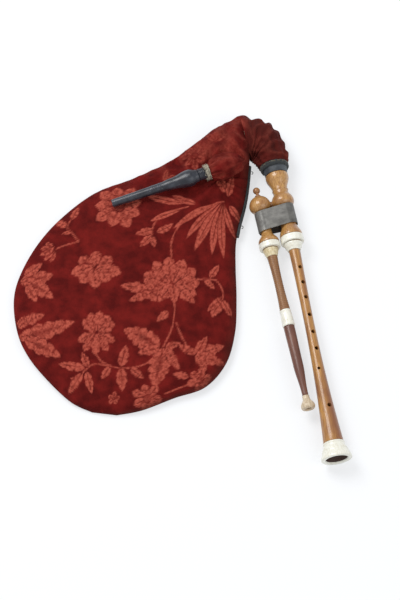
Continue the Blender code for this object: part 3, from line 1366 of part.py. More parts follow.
def main():
    clear_scene()
    axes = make_axes()
    make_main_stock(axes)
    bulb_top = make_drone_stock(axes)
    make_air_bridge(axes)
    make_finial(axes, bulb_top)
    make_socket_ferrules(axes)
    make_band(axes)
    make_neck_end(axes)
    make_chanter_tube(axes)
    make_chanter_fittings(axes)
    make_chanter_reed(axes)
    make_drone_upper(axes)
    make_drone_lower(axes)
    make_drone_reed(axes)
    make_inlet_pipe(axes)
    make_inlet_stock(axes)
    make_bag(axes)
    make_neck()
    make_closure_tape()
    make_hook("closure_hook_upper", UPPER_HOOK_SECTION)
    make_hook("closure_hook_lower", LOWER_HOOK_SECTION)


main()
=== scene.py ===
import logging
import math
from dataclasses import dataclass
from enum import Enum
from typing import Callable, Iterable, Sequence

import bmesh
import bpy
import numpy as np
from mathutils import Matrix, Vector, noise


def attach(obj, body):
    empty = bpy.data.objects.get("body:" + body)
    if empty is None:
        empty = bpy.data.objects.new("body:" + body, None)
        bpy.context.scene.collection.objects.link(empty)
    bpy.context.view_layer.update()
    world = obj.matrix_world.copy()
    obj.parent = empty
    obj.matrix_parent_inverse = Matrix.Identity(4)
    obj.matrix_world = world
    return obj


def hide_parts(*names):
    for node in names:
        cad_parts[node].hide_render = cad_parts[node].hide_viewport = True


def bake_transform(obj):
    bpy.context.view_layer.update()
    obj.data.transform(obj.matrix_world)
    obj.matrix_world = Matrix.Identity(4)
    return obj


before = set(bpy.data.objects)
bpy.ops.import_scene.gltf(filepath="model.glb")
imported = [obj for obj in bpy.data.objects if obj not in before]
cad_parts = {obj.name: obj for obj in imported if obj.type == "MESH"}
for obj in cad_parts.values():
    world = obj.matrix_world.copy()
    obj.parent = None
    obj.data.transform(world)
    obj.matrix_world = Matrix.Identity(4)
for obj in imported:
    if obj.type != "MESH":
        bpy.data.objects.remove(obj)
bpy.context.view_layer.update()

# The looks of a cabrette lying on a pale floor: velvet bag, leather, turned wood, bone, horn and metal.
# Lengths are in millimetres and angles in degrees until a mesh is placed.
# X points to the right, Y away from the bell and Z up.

LOG = logging.getLogger("cabrette")
MM = 0.001
Point = tuple[float, float]
Triple = tuple[float, float, float]
Colour = Triple
Socket = bpy.types.NodeSocket

# Places shared by several sub-assemblies
WAIST = (150.6, 151.2)
STOCK_TURN = 11.5
CHANTER_LEAN = 2.1
AXIS_HEIGHT = 22.55
SOCKET_MOUTH = 88.4
DRONE_MOUTH = 91.2
DRONE_SPACING = 35.0
INLET_PLACE = (27.6, 167.7, 43.0)
INLET_TURN = 198.4
INLET_PITCH = 4.0
FINE_ROUND = 96
SMALL_ROUND = 48
EDGE = 0.3
SHARP_EDGE = 48.0

# The drone's turned rings with their darker grooves, and the chanter's side with painted shade, in the
# pipes' turned axes
RING_SPACING = 3.1
RING_PLACE = 26.94
CHANTER_PAINTED_SHADE = (177.5, 9.0)


class Body(str, Enum):
    """The bodies that pieces ride on."""

    BAG = "bag"
    STOCK = "stock"
    CHANTER = "chanter"
    DRONE_UPPER = "drone_upper"
    DRONE_LOWER = "drone_lower"
    INLET_PIPE = "inlet_pipe"


class Tree:
    """A material's node tree with short calls for adding and linking nodes."""

    def __init__(self, name: str) -> None:
        """Start a material.

        Args:
            name: the material's name.
        """
        self.material = bpy.data.materials.new(name)
        self.material.use_nodes = True
        self.nodes = self.material.node_tree.nodes
        self.links = self.material.node_tree.links
        self.shader = self.nodes["Principled BSDF"]

    def add(self, kind: str, values: dict | None = None, **settings: object) -> bpy.types.Node:
        """Add a node.

        Args:
            kind: the node's type name.
            values: numbers, colours or output sockets for its inputs, by name or index.
            settings: properties of the node itself.

        Returns:
            The new node.
        """
        node = self.nodes.new(kind)
        for key, value in settings.items():
            setattr(node, key, value)
        for key, value in (values or {}).items():
            if isinstance(value, Socket):
                self.links.new(value, node.inputs[key])
            else:
                node.inputs[key].default_value = value
        return node

    def place(self, turn: float = 0.0, stretch: Triple = (1.0, 1.0, 1.0)) -> Socket:
        """Object coordinates turned about Z and stretched.

        Args:
            turn: the turn in degrees.
            stretch: how much longer the pattern is along each turned axis.

        Returns:
            The vector's socket.
        """
        coordinates = self.add("ShaderNodeTexCoord")
        mapping = self.add(
            "ShaderNodeMapping",
            {
                "Vector": coordinates.outputs["Object"],
                "Rotation": (0.0, 0.0, math.radians(turn)),
                "Scale": stretch,
            },
            vector_type="TEXTURE",
        )
        return mapping.outputs["Vector"]

    def noise(self, vector: Socket, scale: float, detail: float = 4.0) -> Socket:
        """A smooth noise value.

        Args:
            vector: where it is read.
            scale: how many lumps there are to a metre.
            detail: how many finer layers it has.

        Returns:
            The value's socket.
        """
        node = self.add("ShaderNodeTexNoise", {"Vector": vector, "Scale": scale, "Detail": detail})
        return node.outputs["Fac"]

    def ramp(self, value: Socket, stops: Sequence[tuple[float, Colour]]) -> Socket:
        """Colours laid along a value.

        Args:
            value: the socket that picks the colour.
            stops: places from 0 to 1 with their colours.

        Returns:
            The colour's socket.
        """
        node = self.add("ShaderNodeValToRGB", {"Fac": value})
        elements = node.color_ramp.elements
        while len(elements) < len(stops):
            elements.new(0.5)
        for element, (place, colour) in zip(elements, stops):
            element.position = place
            element.color = (*colour, 1.0)
        return node.outputs["Color"]

    def mix(self, factor: Socket | float, first: object, second: object, blend: str = "MIX") -> Socket:
        """Two colours mixed by a factor.

        Args:
            factor: the second colour's share.
            first: a colour or its socket.
            second: a colour or its socket.
            blend: how they are mixed.

        Returns:
            The mixed colour's socket.
        """
        node = self.add("ShaderNodeMix", data_type="RGBA", blend_type=blend)
        for index, value in ((0, factor), (6, first), (7, second)):
            if isinstance(value, Socket):
                self.links.new(value, node.inputs[index])
            elif index == 0:
                node.inputs[index].default_value = value
            else:
                node.inputs[index].default_value = (*value, 1.0)
        return node.outputs[2]

    def bump(self, height: Socket, strength: float, distance: float) -> None:
        """Give the surface a relief.

        Args:
            height: the relief's socket.
            strength: how much it shows.
            distance: its greatest depth in millimetres.
        """
        values = {"Height": height, "Strength": strength, "Distance": distance * MM}
        node = self.add("ShaderNodeBump", values)
        self.links.new(node.outputs["Normal"], self.shader.inputs["Normal"])

    def finish(self, colour: Socket, **values: float | tuple) -> bpy.types.Material:
        """Link the base colour and set the shader's plain values.

        Args:
            colour: the base colour's socket.
            values: the shader's inputs, with underscores for blanks.

        Returns:
            The material.
        """
        self.links.new(colour, self.shader.inputs["Base Color"])
        for key, value in values.items():
            name = key.replace("_", " ").title().replace("Ior", "IOR")
            if isinstance(value, Socket):
                self.links.new(value, self.shader.inputs[name])
            else:
                self.shader.inputs[name].default_value = value
        return self.material


@dataclass(frozen=True)
class TurnedWood:
    """Varnished turned wood whose grain runs along the pipe.

    The shade is the middle and the reach of a painted shade: a change to a darker side across the pipe,
    on the side away from the key lamp.
    The rings are the place of one turned ring, along the pipe, and the pitch of them all; the colour is
    darker in the grooves between them.
    """

    name: str
    light: Colour
    dark: Colour
    stain: Colour
    turn: float
    roughness: float = 0.3
    coat: float = 0.35
    shade: tuple[float, float] | None = None
    rings: tuple[float, float] | None = None

    def material(self) -> bpy.types.Material:
        """Make the material: long grain, blotches of stain and fine pores.

        Returns:
            The material.
        """
        tree = Tree(self.name)
        along = tree.place(self.turn, (1.0, 26.0, 1.0))
        grain = tree.noise(along, 950.0, 6.0)
        blotch = tree.noise(tree.place(self.turn, (1.0, 3.0, 1.0)), 42.0, 3.0)
        base = tree.ramp(grain, ((0.32, self.dark), (0.62, self.light)))
        spots = tree.ramp(blotch, ((0.42, (0.0, 0.0, 0.0)), (0.68, (1.0, 1.0, 1.0))))
        colour = tree.mix(spots, base, self.stain)
        if self.shade or self.rings:
            colour = self.shaded_side_and_dark_grooves(tree, colour)
        tree.bump(grain, 0.35, 0.12)
        values = {"Value": blotch, "To Min": self.roughness, "To Max": self.roughness + 0.16}
        rough = tree.add("ShaderNodeMapRange", values)
        return tree.finish(colour, roughness=rough.outputs[0], coat_weight=self.coat, coat_roughness=0.18)

    def shaded_side_and_dark_grooves(self, tree: Tree, colour: Socket) -> Socket:
        """The wood's colour with painted shade down one side where a shade is set, and darker in its
        turned grooves where rings are set.

        Args:
            tree: the material's tree.
            colour: the plain wood's colour.

        Returns:
            The colour's socket, with its painted shade and darker grooves.
        """
        parts = tree.add("ShaderNodeSeparateXYZ", {"Vector": tree.place(self.turn)})
        # Painted shade: one side of the pipe, across it, is mixed towards the stain colour, the side
        # turned away from the key lamp.
        if self.shade:
            middle, reach = self.shade
            values = {
                "Value": parts.outputs["X"],
                "From Min": (middle - reach) * MM,
                "From Max": (middle + reach) * MM,
            }
            side = tree.add("ShaderNodeMapRange", values)
            rough = tree.noise(tree.place(self.turn, (1.0, 5.0, 1.0)), 160.0, 4.0)
            edge = tree.add("ShaderNodeMath", {0: side.outputs[0], 1: rough}, operation="MULTIPLY")
            share = tree.ramp(edge.outputs[0], ((0.2, (0.0,) * 3), (0.55, (0.85,) * 3)))
            colour = tree.mix(share, colour, self.stain)
        # Darker in the turned grooves: between the rings the colour is mixed towards the dark wood.
        if self.rings:
            first, pitch = self.rings
            offset = {0: parts.outputs["Y"], 1: first * MM}
            shifted = tree.add("ShaderNodeMath", offset, operation="SUBTRACT")
            rate = {0: shifted.outputs[0], 1: math.tau / (pitch * MM)}
            turned = tree.add("ShaderNodeMath", rate, operation="MULTIPLY")
            wave = tree.add("ShaderNodeMath", {0: turned.outputs[0]}, operation="COSINE")
            share = tree.ramp(wave.outputs[0], ((0.0, (0.55,) * 3), (0.35, (0.0,) * 3)))
            colour = tree.mix(share, colour, self.dark)
        return colour


@dataclass(frozen=True)
class Polished:
    """Bone or horn: pale, with faint streaks and yellowed patches."""

    name: str
    light: Colour
    dark: Colour
    turn: float
    roughness: float = 0.3

    def material(self) -> bpy.types.Material:
        """Make the material: streaks along the piece and a warm stain.

        Returns:
            The material.
        """
        tree = Tree(self.name)
        streaks = tree.noise(tree.place(self.turn, (1.0, 9.0, 1.0)), 620.0, 5.0)
        stain = tree.noise(tree.place(), 70.0, 3.0)
        base = tree.ramp(streaks, ((0.25, self.dark), (0.6, self.light)))
        warm = tree.ramp(stain, ((0.45, (0.0, 0.0, 0.0)), (0.75, (0.5, 0.5, 0.5))))
        colour = tree.mix(warm, base, self.dark)
        tree.bump(streaks, 0.2, 0.08)
        return tree.finish(colour, roughness=self.roughness, coat_weight=0.2, coat_roughness=0.2)


@dataclass(frozen=True)
class Velvet:
    """Cut velvet: a deep ground, with a paler raised pattern and painted highlights where the motif
    attribute is high, and worn colour and painted shade where the wear attribute is high.
    """

    name: str = "damask_velvet"
    ground: Colour = (0.085, 0.0035, 0.003)
    ground_light: Colour = (0.17, 0.009, 0.007)
    figure: Colour = (0.47, 0.09, 0.058)
    figure_dark: Colour = (0.24, 0.03, 0.019)
    # The worn colour serves the rubbed right edge, the darker neck and the painted shade near the floor.
    worn: Colour = (0.055, 0.012, 0.008)

    def material(self) -> bpy.types.Material:
        """Make the material: pile, pattern with painted highlights, wear with painted shade, and sheen.

        Returns:
            The material.
        """
        tree = Tree(self.name)
        # The motif attribute carries the pattern and the painted highlights on the folds.
        motif_and_highlight = tree.add("ShaderNodeAttribute", attribute_name="motif_and_highlight").outputs["Fac"]
        # The wear attribute carries the worn edge, a darkening towards the neck and painted shade near
        # the floor.
        wear = tree.add("ShaderNodeAttribute", attribute_name="wear").outputs["Fac"]
        place = tree.place()
        pile = tree.noise(place, 1500.0, 3.0)
        nap = tree.noise(place, 55.0, 4.0)
        ground = tree.ramp(nap, ((0.35, self.ground), (0.68, self.ground_light)))
        figure = tree.ramp(tree.noise(place, 240.0, 4.0), ((0.3, self.figure_dark), (0.6, self.figure)))
        cloth = tree.mix(motif_and_highlight, ground, figure)
        cloth = tree.mix(wear, cloth, self.worn)
        speckle = tree.ramp(pile, ((0.3, (0.62, 0.62, 0.62)), (0.7, (1.15, 1.15, 1.15))))
        colour = tree.mix(1.0, cloth, speckle, "MULTIPLY")
        height = tree.add("ShaderNodeMath", {0: motif_and_highlight, 1: pile}, operation="ADD")
        tree.bump(height.outputs[0], 0.5, 0.5)
        return tree.finish(
            colour,
            roughness=0.9,
            specular_ior_level=0.12,
            sheen_weight=0.05,
            sheen_roughness=0.35,
            sheen_tint=(1.0, 0.2, 0.14, 1.0),
        )


@dataclass(frozen=True)
class Cloth:
    """Woven tape, thread or cord: two colours in a fine weave."""

    name: str
    light: Colour
    dark: Colour
    weave: float = 900.0
    roughness: float = 0.85

    def material(self) -> bpy.types.Material:
        """Make the material: crossing threads and some fuzz.

        Returns:
            The material.
        """
        tree = Tree(self.name)
        place = tree.place()
        threads = {"Vector": place, "Scale": self.weave, "Distortion": 1.5}
        first = tree.add("ShaderNodeTexWave", threads)
        second = tree.add("ShaderNodeTexWave", threads, bands_direction="Z")
        both = {0: first.outputs["Fac"], 1: second.outputs["Fac"]}
        crossing = tree.add("ShaderNodeMath", both, operation="MAXIMUM")
        fuzz = tree.noise(place, 260.0, 5.0)
        base = tree.ramp(crossing.outputs[0], ((0.2, self.dark), (0.9, self.light)))
        soil = tree.ramp(fuzz, ((0.3, (0.55, 0.55, 0.55)), (0.65, (1.0, 1.0, 1.0))))
        colour = tree.mix(1.0, base, soil, "MULTIPLY")
        tree.bump(crossing.outputs[0], 0.6, 0.2)
        return tree.finish(colour, roughness=self.roughness, sheen_weight=0.15)


@dataclass(frozen=True)
class Leather:
    """Old leather: creased grain and rubbed patches."""

    name: str
    light: Colour
    dark: Colour
    roughness: float = 0.6
    grain: float = 900.0

    def material(self) -> bpy.types.Material:
        """Make the material: a cell grain and rubbed lights.

        Returns:
            The material.
        """
        tree = Tree(self.name)
        place = tree.place()
        grain = {"Vector": place, "Scale": self.grain}
        cells = tree.add("ShaderNodeTexVoronoi", grain, feature="DISTANCE_TO_EDGE")
        rub = tree.noise(place, 60.0, 5.0)
        colour = tree.ramp(rub, ((0.35, self.dark), (0.7, self.light)))
        tree.bump(cells.outputs["Distance"], 0.5, 0.25)
        return tree.finish(colour, roughness=self.roughness)


@dataclass(frozen=True)
class SheetMetal:
    """Dull grey sheet with bright rubs and darker tarnish."""

    name: str = "dull_sheet"
    dark: Colour = (0.07, 0.066, 0.06)
    middle: Colour = (0.13, 0.125, 0.115)
    bright: Colour = (0.25, 0.24, 0.22)

    def material(self) -> bpy.types.Material:
        """Make the material: tarnish, rubs and dents.

        Returns:
            The material.
        """
        tree = Tree(self.name)
        place = tree.place()
        tarnish = tree.noise(place, 75.0, 6.0)
        scratches = tree.noise(tree.place(STOCK_TURN, (8.0, 1.0, 1.0)), 800.0, 3.0)
        base = tree.ramp(tarnish, ((0.3, self.dark), (0.5, self.middle), (0.78, self.bright)))
        colour = tree.mix(0.25, base, tree.ramp(scratches, ((0.35, self.dark), (0.7, self.bright))))
        rough = tree.add("ShaderNodeMapRange", {"Value": tarnish, "To Min": 0.62, "To Max": 0.42})
        tree.bump(tarnish, 0.5, 0.5)
        return tree.finish(colour, roughness=rough.outputs[0], metallic=0.3)


@dataclass(frozen=True)
class BlackWood:
    """Ebonised wood, worn to a blue grey in patches."""

    name: str = "ebonised_wood"
    dark: Colour = (0.01, 0.011, 0.018)
    light: Colour = (0.038, 0.044, 0.06)
    speck: Colour = (0.3, 0.33, 0.36)

    def material(self) -> bpy.types.Material:
        """Make the material: long wear, and chips that show paler wood.

        Returns:
            The material.
        """
        tree = Tree(self.name)
        along = tree.place(INLET_TURN, (22.0, 1.0, 1.0))
        grain = tree.noise(along, 800.0, 5.0)
        wear = tree.noise(tree.place(), 85.0, 6.0)
        base = tree.mix(tree.ramp(wear, ((0.4, (0.0,) * 3), (0.72, (1.0,) * 3))), self.dark, self.light)
        chips = tree.ramp(tree.noise(tree.place(), 330.0, 2.0), ((0.7, (0.0,) * 3), (0.76, (0.8,) * 3)))
        colour = tree.mix(chips, base, self.speck)
        tree.bump(grain, 0.4, 0.15)
        return tree.finish(colour, roughness=0.36, coat_weight=0.25, coat_roughness=0.3)


class Finishes:
    """Every finish on the instrument, made once."""

    def __init__(self) -> None:
        """Make the materials."""
        chanter_turn = STOCK_TURN - CHANTER_LEAN
        box = ((0.56, 0.31, 0.1), (0.3, 0.125, 0.032), (0.26, 0.1, 0.03))
        self.stock_wood = TurnedWood("golden_boxwood", *box, STOCK_TURN, 0.22, 0.6).material()
        chanter = ((0.52, 0.26, 0.065), (0.27, 0.105, 0.022), (0.22, 0.075, 0.028))
        # The chanter's stain colour also paints shade down its right side, away from the key lamp.
        chanter_wood = TurnedWood("chanter_boxwood", *chanter, chanter_turn, shade=CHANTER_PAINTED_SHADE)
        self.chanter_wood = chanter_wood.material()
        upper = ((0.38, 0.19, 0.075), (0.17, 0.07, 0.025), (0.25, 0.105, 0.035))
        rings = (RING_PLACE, RING_SPACING)
        drone_wood = TurnedWood("drone_fruitwood", *upper, STOCK_TURN, 0.4, 0.15, rings=rings)
        self.drone_wood = drone_wood.material()
        lower = ((0.2, 0.078, 0.046), (0.085, 0.03, 0.02), (0.12, 0.04, 0.025))
        self.red_wood = TurnedWood("reddish_fruitwood", *lower, STOCK_TURN, 0.38, 0.2).material()
        knob = ((0.42, 0.2, 0.06), (0.2, 0.08, 0.025), (0.26, 0.1, 0.03))
        self.knob_wood = TurnedWood("knob_wood", *knob, STOCK_TURN, 0.25, 0.5).material()
        # Painted shade: a dark wood for the lining inside the bell's bore.
        dark = ((0.075, 0.035, 0.022), (0.03, 0.014, 0.01), (0.045, 0.02, 0.014))
        self.bore_shade_wood = TurnedWood("painted_bore_shade", *dark, STOCK_TURN, 0.6, 0.0).material()
        cream = ((0.86, 0.85, 0.77), (0.72, 0.68, 0.55))
        self.bone = Polished("cream_bone", *cream, STOCK_TURN).material()
        yellow = ((0.74, 0.64, 0.42), (0.52, 0.4, 0.2))
        self.old_bone = Polished("yellowed_bone", *yellow, STOCK_TURN).material()
        beige = ((0.68, 0.56, 0.4), (0.42, 0.3, 0.18))
        self.horn = Polished("beige_horn", *beige, STOCK_TURN, 0.38).material()
        self.velvet = Velvet().material()
        self.tape = Cloth("black_woven_tape", (0.03, 0.035, 0.036), (0.006, 0.008, 0.009)).material()
        self.cord = Cloth("frayed_cord", (0.66, 0.6, 0.47), (0.4, 0.34, 0.23), 1400.0).material()
        self.thread = Cloth("waxed_thread", (0.6, 0.48, 0.26), (0.34, 0.24, 0.1), 1800.0, 0.6).material()
        self.collar = Leather("slate_leather", (0.1, 0.112, 0.125), (0.028, 0.032, 0.038)).material()
        self.skin = Leather("goatskin", (0.62, 0.52, 0.38), (0.45, 0.35, 0.22), 0.75).material()
        self.sheet = SheetMetal().material()
        self.black = BlackWood().material()
        reed = ((0.7, 0.56, 0.28), (0.5, 0.38, 0.16), (0.6, 0.45, 0.2))
        self.cane = TurnedWood("bare_cane", *reed, STOCK_TURN).material()
        brass = ((0.3, 0.18, 0.05), (0.55, 0.38, 0.13), (0.75, 0.56, 0.25))
        self.brass = SheetMetal("drawn_brass", *brass).material()


def lying(origin: Sequence[float], turn: float) -> Matrix:
    """The place of a pipe that lies on the table.

    Args:
        origin: the origin of its axis in millimetres.
        turn: its turn from -Y towards +X.

    Returns:
        A matrix whose Z runs along the pipe and whose Y points up.
    """
    rotation = Matrix.Rotation(math.radians(turn), 4, "Z") @ Matrix.Rotation(math.radians(90.0), 4, "X")
    return Matrix.Translation(Vector(origin)) @ rotation


def stock_place() -> Matrix:
    """The main stock's axis.

    Returns:
        Its place, from the stock's waist.
    """
    return lying((*WAIST, AXIS_HEIGHT), STOCK_TURN)


def chanter_place() -> Matrix:
    """The chanter's axis.

    Returns:
        Its place, from the mouth of its socket.
    """
    mouth = stock_place() @ Vector((0.0, 0.0, SOCKET_MOUTH))
    return lying(mouth, STOCK_TURN - CHANTER_LEAN)


def drone_place() -> Matrix:
    """The drone's axis.

    Returns:
        Its place, from the mouth of its socket.
    """
    mouth = stock_place() @ Vector((-DRONE_SPACING, 0.0, DRONE_MOUTH))
    return lying(mouth, STOCK_TURN)


def inlet_place() -> Matrix:
    """The inlet pipe's axis.

    Returns:
        Its place, from the face of its stock towards the tip.
    """
    turn = math.radians(INLET_TURN)
    pitch = math.radians(INLET_PITCH)
    out = Vector((math.cos(turn) * math.cos(pitch), math.sin(turn) * math.cos(pitch), -math.sin(pitch)))
    return Matrix.Translation(Vector(INLET_PLACE)) @ out.to_track_quat("Z", "Y").to_matrix().to_4x4()


def add_mesh(
    name: str, vertices: np.ndarray, faces: Sequence, material: bpy.types.Material
) -> bpy.types.Object:
    """An object at the origin from points in millimetres.

    Args:
        name: the piece's name.
        vertices: its points, one row each.
        faces: lists of point numbers.
        material: its finish.

    Returns:
        The object, smooth, with its faces pointing out.
    """
    mesh = bpy.data.meshes.new(name)
    mesh.from_pydata((np.asarray(vertices) * MM).tolist(), [], faces)
    build = bmesh.new()
    build.from_mesh(mesh)
    bmesh.ops.recalc_face_normals(build, faces=build.faces)
    build.to_mesh(mesh)
    build.free()
    mesh.shade_smooth()
    mesh.set_sharp_from_angle(angle=math.radians(SHARP_EDGE))
    mesh.materials.append(material)
    piece = bpy.data.objects.new(name, mesh)
    bpy.context.scene.collection.objects.link(piece)
    return piece


def give(piece: bpy.types.Object, body: Body, nodes: Iterable[str] = ()) -> bpy.types.Object:
    """Hand a finished piece to its body.

    Args:
        piece: the finished piece.
        body: the body it rides on.
        nodes: the solids that it stands for.

    Returns:
        The piece.
    """
    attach(piece, body.value)
    nodes = tuple(nodes)
    if nodes:
        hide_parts(*nodes)
    LOG.info("%s rides on %s and stands for %s", piece.name, body.value, ", ".join(nodes) or "nothing")
    return piece


def eased(profile: Sequence[Point], reach: float = EDGE) -> list[Point]:
    """A profile with its corners rounded.

    Args:
        profile: radius and place of each corner.
        reach: how far a round starts from its corner.

    Returns:
        The profile with three points at each corner.
    """
    points = [Vector(corner) for corner in profile]
    result = [tuple(points[0])]
    for before, corner, after in zip(points, points[1:], points[2:]):
        towards = before - corner
        onwards = after - corner
        first = min(reach, 0.4 * towards.length)
        second = min(reach, 0.4 * onwards.length)
        start = corner + towards.normalized() * first
        end = corner + onwards.normalized() * second
        result.extend((tuple(start), tuple(0.25 * start + 0.5 * corner + 0.25 * end), tuple(end)))
    result.append(tuple(points[-1]))
    return result


def lathe(
    name: str,
    profile: Sequence[Point],
    place: Matrix,
    material: bpy.types.Material,
    segments: int = FINE_ROUND,
    wobble: Callable[[float, float], float] | None = None,
) -> bpy.types.Object:
    """A turned piece.

    Args:
        name: the piece's name.
        profile: radius and place down its outer side and, round a bore, back up its inside.
        place: its axis.
        material: its finish.
        segments: steps round the axis.
        wobble: an addition to the radius for an angle and a place.

    Returns:
        The piece.
    """
    closed_loop = profile[0][0] > 0.0 or profile[-1][0] > 0.0
    vertices = []
    rings = []
    for radius, along in profile:
        if radius <= 1e-6:
            rings.append([len(vertices)])
            vertices.append(place @ Vector((0.0, 0.0, along)))
            continue
        ring = []
        for step in range(segments):
            angle = math.tau * step / segments
            reach = radius + (wobble(angle, along) if wobble else 0.0)
            ring.append(len(vertices))
            vertices.append(place @ Vector((reach * math.cos(angle), reach * math.sin(angle), along)))
        rings.append(ring)
    faces = []
    pairs = list(zip(rings, rings[1:]))
    if closed_loop:
        pairs.append((rings[-1], rings[0]))
    for first, second in pairs:
        for step in range(segments):
            after = (step + 1) % segments
            if len(first) == 1:
                faces.append((first[0], second[step], second[after]))
            elif len(second) == 1:
                faces.append((first[step], first[after], second[0]))
            else:
                faces.append((first[step], first[after], second[after], second[step]))
    return add_mesh(name, np.array([tuple(v) for v in vertices]), faces, material)


def cove(
    first_radius: float, last_radius: float, first: float, last: float, steps: int = 12
) -> list[Point]:
    """Points of a curve that leaves and arrives level.

    Args:
        first_radius: its radius where it starts.
        last_radius: its radius where it ends.
        first: where it starts.
        last: where it ends.
        steps: how many steps it takes.

    Returns:
        Radius and place of each point.
    """
    points = []
    for step in range(steps + 1):
        share = step / steps
        blend = 0.5 - 0.5 * math.cos(math.pi * share)
        radius = first_radius + (last_radius - first_radius) * blend
        points.append((radius, first + (last - first) * share))
    return points


def bulb(
    centre: float, radius: float, before: float, after: float, first: float, last: float, steps: int = 24
) -> list[Point]:
    """Points of an oval bulb.

    Args:
        centre: its widest place.
        radius: its widest radius.
        before: its reach before that place.
        after: its reach past it.
        first: where the points start.
        last: where they end.
        steps: how many steps they take.

    Returns:
        Radius and place of each point.
    """
    points = []
    for step in range(steps + 1):
        place = first + (last - first) * step / steps
        reach = before if place < centre else after
        share = min(1.0, abs(place - centre) / reach)
        points.append((radius * math.sqrt(1.0 - share * share), place))
    return points


def bored(outer: Sequence[Point], bore: float) -> list[Point]:
    """A rounded outer side closed by a straight bore.

    Args:
        outer: radius and place of the outer side's corners.
        bore: the bore's radius.

    Returns:
        The closed profile.
    """
    first, last = outer[0][1], outer[-1][1]
    return eased([(bore, first), *outer, (bore, last)])


@dataclass
class StrandRing:
    """Geometry Nodes that set thin strands round a ring: stitches, or the frayed ends of a cord."""

    count: int
    radius: float
    length: float
    thickness: float
    outwards: float
    around: float
    along: float
    spread: float
    seed: int

    def tree(self, material: bpy.types.Material) -> bpy.types.GeometryNodeTree:
        """The node tree, with its sizes as named inputs.

        Args:
            material: the strands' finish.

        Returns:
            The tree.
        """
        tree = bpy.data.node_groups.new("strand_ring", "GeometryNodeTree")
        face = tree.interface
        face.new_socket(name="Geometry", in_out="OUTPUT", socket_type="NodeSocketGeometry")
        face.new_socket(name="Count", in_out="INPUT", socket_type="NodeSocketInt")
        for name in ("Radius", "Length", "Thickness", "Spread"):
            face.new_socket(name=name, in_out="INPUT", socket_type="NodeSocketFloat")
        face.new_socket(name="Seed", in_out="INPUT", socket_type="NodeSocketInt")
        nodes, links = tree.nodes, tree.links
        inputs = nodes.new("NodeGroupInput").outputs
        circle = nodes.new("GeometryNodeMeshCircle")
        links.new(inputs["Count"], circle.inputs["Vertices"])
        links.new(inputs["Radius"], circle.inputs["Radius"])
        strand = nodes.new("GeometryNodeMeshCylinder")
        strand.inputs["Vertices"].default_value = 5
        links.new(inputs["Thickness"], strand.inputs["Radius"])
        links.new(inputs["Length"], strand.inputs["Depth"])
        position = nodes.new("GeometryNodeInputPosition")
        radial = nodes.new("ShaderNodeVectorMath")
        radial.operation = "NORMALIZE"
        links.new(position.outputs[0], radial.inputs[0])
        tangent = nodes.new("ShaderNodeVectorMath")
        tangent.operation = "CROSS_PRODUCT"
        tangent.inputs[0].default_value = (0.0, 0.0, 1.0)
        links.new(radial.outputs[0], tangent.inputs[1])
        direction = self.scaled_sum(tree, radial.outputs[0], tangent.outputs[0])
        chance = nodes.new("FunctionNodeRandomValue")
        chance.data_type = "FLOAT_VECTOR"
        chance.inputs[0].default_value = (-1.0, -1.0, -1.0)
        chance.inputs[1].default_value = (1.0, 1.0, 1.0)
        links.new(inputs["Seed"], chance.inputs["Seed"])
        scatter = nodes.new("ShaderNodeVectorMath")
        scatter.operation = "SCALE"
        links.new(chance.outputs[0], scatter.inputs[0])
        links.new(inputs["Spread"], scatter.inputs["Scale"])
        total = nodes.new("ShaderNodeVectorMath")
        links.new(direction, total.inputs[0])
        links.new(scatter.outputs[0], total.inputs[1])
        align = nodes.new("FunctionNodeAlignRotationToVector")
        align.axis = "Z"
        links.new(total.outputs[0], align.inputs["Vector"])
        spots = nodes.new("GeometryNodeInstanceOnPoints")
        links.new(circle.outputs["Mesh"], spots.inputs["Points"])
        links.new(strand.outputs["Mesh"], spots.inputs["Instance"])
        links.new(align.outputs[0], spots.inputs["Rotation"])
        whole = nodes.new("GeometryNodeRealizeInstances")
        links.new(spots.outputs[0], whole.inputs[0])
        paint = nodes.new("GeometryNodeSetMaterial")
        paint.inputs["Material"].default_value = material
        links.new(whole.outputs[0], paint.inputs["Geometry"])
        links.new(paint.outputs[0], nodes.new("NodeGroupOutput").inputs[0])
        return tree

    def scaled_sum(self, tree: bpy.types.GeometryNodeTree, radial: Socket, tangent: Socket) -> Socket:
        """The strands' common direction, from its parts outwards, around and along the ring's axis.

        Args:
            tree: the node tree.
            radial: the way out of the ring.
            tangent: the way round it.

        Returns:
            The direction's socket.
        """
        nodes, links = tree.nodes, tree.links
        first = nodes.new("ShaderNodeVectorMath")
        first.operation = "MULTIPLY_ADD"
        first.inputs[1].default_value = (self.outwards,) * 3
        first.inputs[2].default_value = (0.0, 0.0, self.along)
        links.new(radial, first.inputs[0])
        second = nodes.new("ShaderNodeVectorMath")
        second.operation = "MULTIPLY_ADD"
        second.inputs[1].default_value = (self.around,) * 3
        links.new(tangent, second.inputs[0])
        links.new(first.outputs[0], second.inputs[2])
        return second.outputs[0]

    def build(self, name: str, place: Matrix, material: bpy.types.Material) -> bpy.types.Object:
        """The strands as one plain mesh.

        Args:
            name: the piece's name.
            place: the ring's middle and axis, in millimetres.
            material: the strands' finish.

        Returns:
            The piece.
        """
        host = bpy.data.objects.new(name + "_host", bpy.data.meshes.new(name + "_host"))
        bpy.context.scene.collection.objects.link(host)
        modifier = host.modifiers.new("strands", "NODES")
        tree = self.tree(material)
        values = {
            "Count": self.count,
            "Radius": self.radius,
            "Length": self.length,
            "Thickness": self.thickness,
            "Spread": self.spread,
            "Seed": self.seed,
        }
        modifier.node_group = tree
        for item in tree.interface.items_tree:
            if item.in_out == "INPUT":
                modifier[item.identifier] = values[item.name]
        graph = bpy.context.evaluated_depsgraph_get()
        mesh = bpy.data.meshes.new_from_object(host.evaluated_get(graph))
        bpy.data.objects.remove(host, do_unlink=True)
        mesh.transform(Matrix.Diagonal((MM, MM, MM, 1.0)) @ place)
        piece = bpy.data.objects.new(name, mesh)
        bpy.context.scene.collection.objects.link(piece)
        return piece


